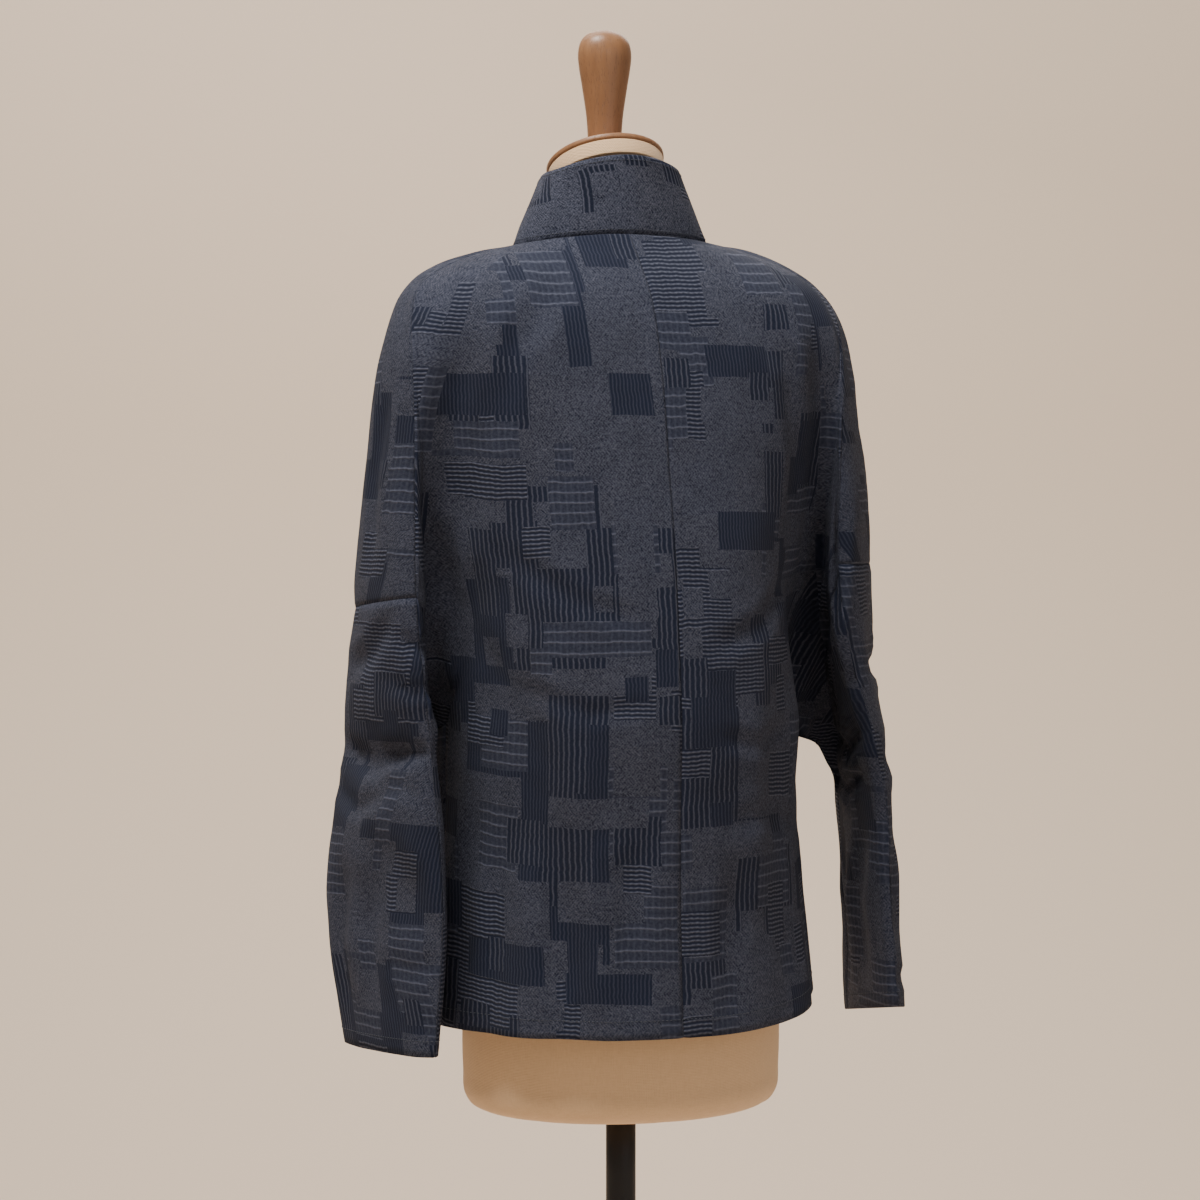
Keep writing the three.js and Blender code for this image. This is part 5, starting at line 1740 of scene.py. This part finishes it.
def jacquard(name, plainer=0.0, tone=1.0):
    finish = Finish(name)
    u, v = (part / MM for part in finish.parts(finish.node("ShaderNodeUVMap", {"uv_map": "flat_cloth"}), 2))
    waver = finish.parts(finish.noise(finish.join(u, v, 2.0), 0.02, 1.0, 1), 2)
    ragged = finish.noise(finish.join(u, v, 5.0), 0.6, 1.0) * 1.6
    u, v = u + waver[0] * 5.0, v + waver[1] * 5.0
    kind = boxes(finish, u + ragged, v + ragged) * (1 - plainer)
    light, soft = weaves(finish, u, v, kind)
    navy = finish.colour(soft, [c * 0.8 for c in NAVY], [c * 1.2 for c in NAVY])
    warm = [c * tone for c in THREAD]
    thread = finish.colour(kind, warm, [c * cool for c, cool in zip(warm, COOLER)])
    weft = (u + v).wave(1.1) * 0.3
    return finish.surface(
        Base_Color=finish.colour(light, navy, thread),
        Roughness=0.93 - light * 0.10,
        Normal=finish.bump(light + weft, 0.0011, 0.85),
        Specular_IOR_Level=0.14,
        Sheen_Weight=0.03,
        Sheen_Roughness=0.6,
    )


finishes = {"cloth": jacquard("jacquard"), "collar": jacquard("jacquard_collar", plainer=0.3, tone=1.4)}
print("jacquard nodes:", len(finishes["cloth"].node_tree.nodes))


# %% Linen, wood, metal and paper
def linen():
    finish = Finish("linen")
    place = finish.object_place()
    x, y, z = (part / MM for part in finish.parts(place))
    level = finish.stretched(place, (1.0, 1.0, 8.0), 160.0, 3.0)
    upright = finish.stretched(place, (8.0, 8.0, 1.0), 160.0, 3.0)
    weave = (z.wave(1.2) + (x + y).wave(1.2)) * 0.5
    soil = finish.noise(place, 9.0, 3.0)
    share = level * 0.5 + upright * 0.5
    thread = finish.colour(share, (0.70, 0.43, 0.23), (0.96, 0.66, 0.39))
    return finish.surface(
        Base_Color=finish.colour(soil * 0.25, thread, (0.62, 0.47, 0.30)),
        Roughness=0.86 + share * 0.1,
        Normal=finish.bump(weave * 0.5 + share, 0.0006, 0.7),
        Sheen_Weight=0.15,
        Sheen_Roughness=0.5,
    )


def wood():
    finish = Finish("beech")
    place = finish.object_place()
    bent = finish.vectors("MULTIPLY", finish.noise(place, 14.0, 2.0, 1), (0.006, 0.006, 0.0))
    upright = finish.vectors("MULTIPLY", place, (1.0, 1.0, 0.10))
    rings = finish.noise(finish.vectors("ADD", upright, bent), 210.0, 3.0)
    pores = finish.stretched(place, (1.0, 1.0, 0.05), 1500.0, 2.0)
    patch = finish.noise(place, 22.0, 2.0)
    tone = finish.colour(rings, (0.235, 0.105, 0.044), (0.41, 0.200, 0.088))
    tone = finish.colour(patch * 0.35, tone, (0.25, 0.120, 0.058))
    dark = (pores < 0.38) * 0.4
    return finish.surface(
        Base_Color=finish.colour(dark, tone, (0.13, 0.060, 0.028)),
        Roughness=0.36 + rings * 0.14 + dark * 0.3,
        Normal=finish.bump(rings - dark, 0.0004, 0.5),
        Coat_Weight=0.12,
        Coat_Roughness=0.3,
    )


def dark_metal():
    finish = Finish("painted_steel")
    place = finish.object_place()
    grain = finish.noise(place, 900.0, 2.0)
    worn = (finish.noise(place, 34.0, 4.0) > 0.66) * 0.25
    return finish.surface(
        Base_Color=finish.colour(worn + grain * 0.2, (0.018, 0.018, 0.020), (0.060, 0.058, 0.056)),
        Metallic=0.55,
        Roughness=0.42 + grain * 0.16,
        Normal=finish.bump(grain, 0.0002, 0.5),
    )


def paper():
    finish = Finish("backdrop")
    place = finish.object_place()
    fleck = finish.noise(place, 60.0, 3.0)
    share = finish.noise(place, 0.7, 2.0) * 0.6 + fleck * 0.1
    return finish.surface(
        Base_Color=finish.colour(share, (0.78, 0.635, 0.495), (0.82, 0.675, 0.535)),
        Roughness=0.93,
        Normal=finish.bump(fleck, 0.0008, 0.15),
    )


finishes.update(cover=linen(), wood=wood(), metal=dark_metal())
backdrop.data.materials.append(paper())
print("finishes:", [m.name for m in bpy.data.materials])

# %% [markdown]
# ## What each piece is
# The frame has to know what carries each piece, which plain solid it stands for, and how large
# each sheet of cloth was before it was sewn. The flat sizes are lengths along the nets.

# %% Finish, ride, replace, slot
pieces = [(piece, name, "collar" if name == "collar" else "cloth") for name, piece in cloth_pieces.items()]
pieces += [
    (torso, "form_torso", "cover"), (cap, "neck_cap", "cover"), (disc, "neck_disc", "wood"),
    (knob, "handle", "wood"), (pole, "stand", "metal"), (knot, "tie_knot", "collar"),
    (tails["front"], "tie_tail_front", "collar"), (tails["back"], "tie_tail_back", "collar"),
    (body_stitches, None, "cloth"), (collar_stitches, None, "collar"),
]
for piece, node, slot in pieces:
    piece.data.materials.clear()
    piece.data.materials.append(finishes[slot] if node else thread_finish)
    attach(piece, "root")
    if node:
        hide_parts(node)
print("dressed pieces:", len(pieces))

# %% Flat sizes of the sheets
sheets = dict(cloth_pieces, tie_tail_front=tails["front"], tie_tail_back=tails["back"])
for name, piece in sheets.items():
    held = "draped" if name == "collar" else "hung"
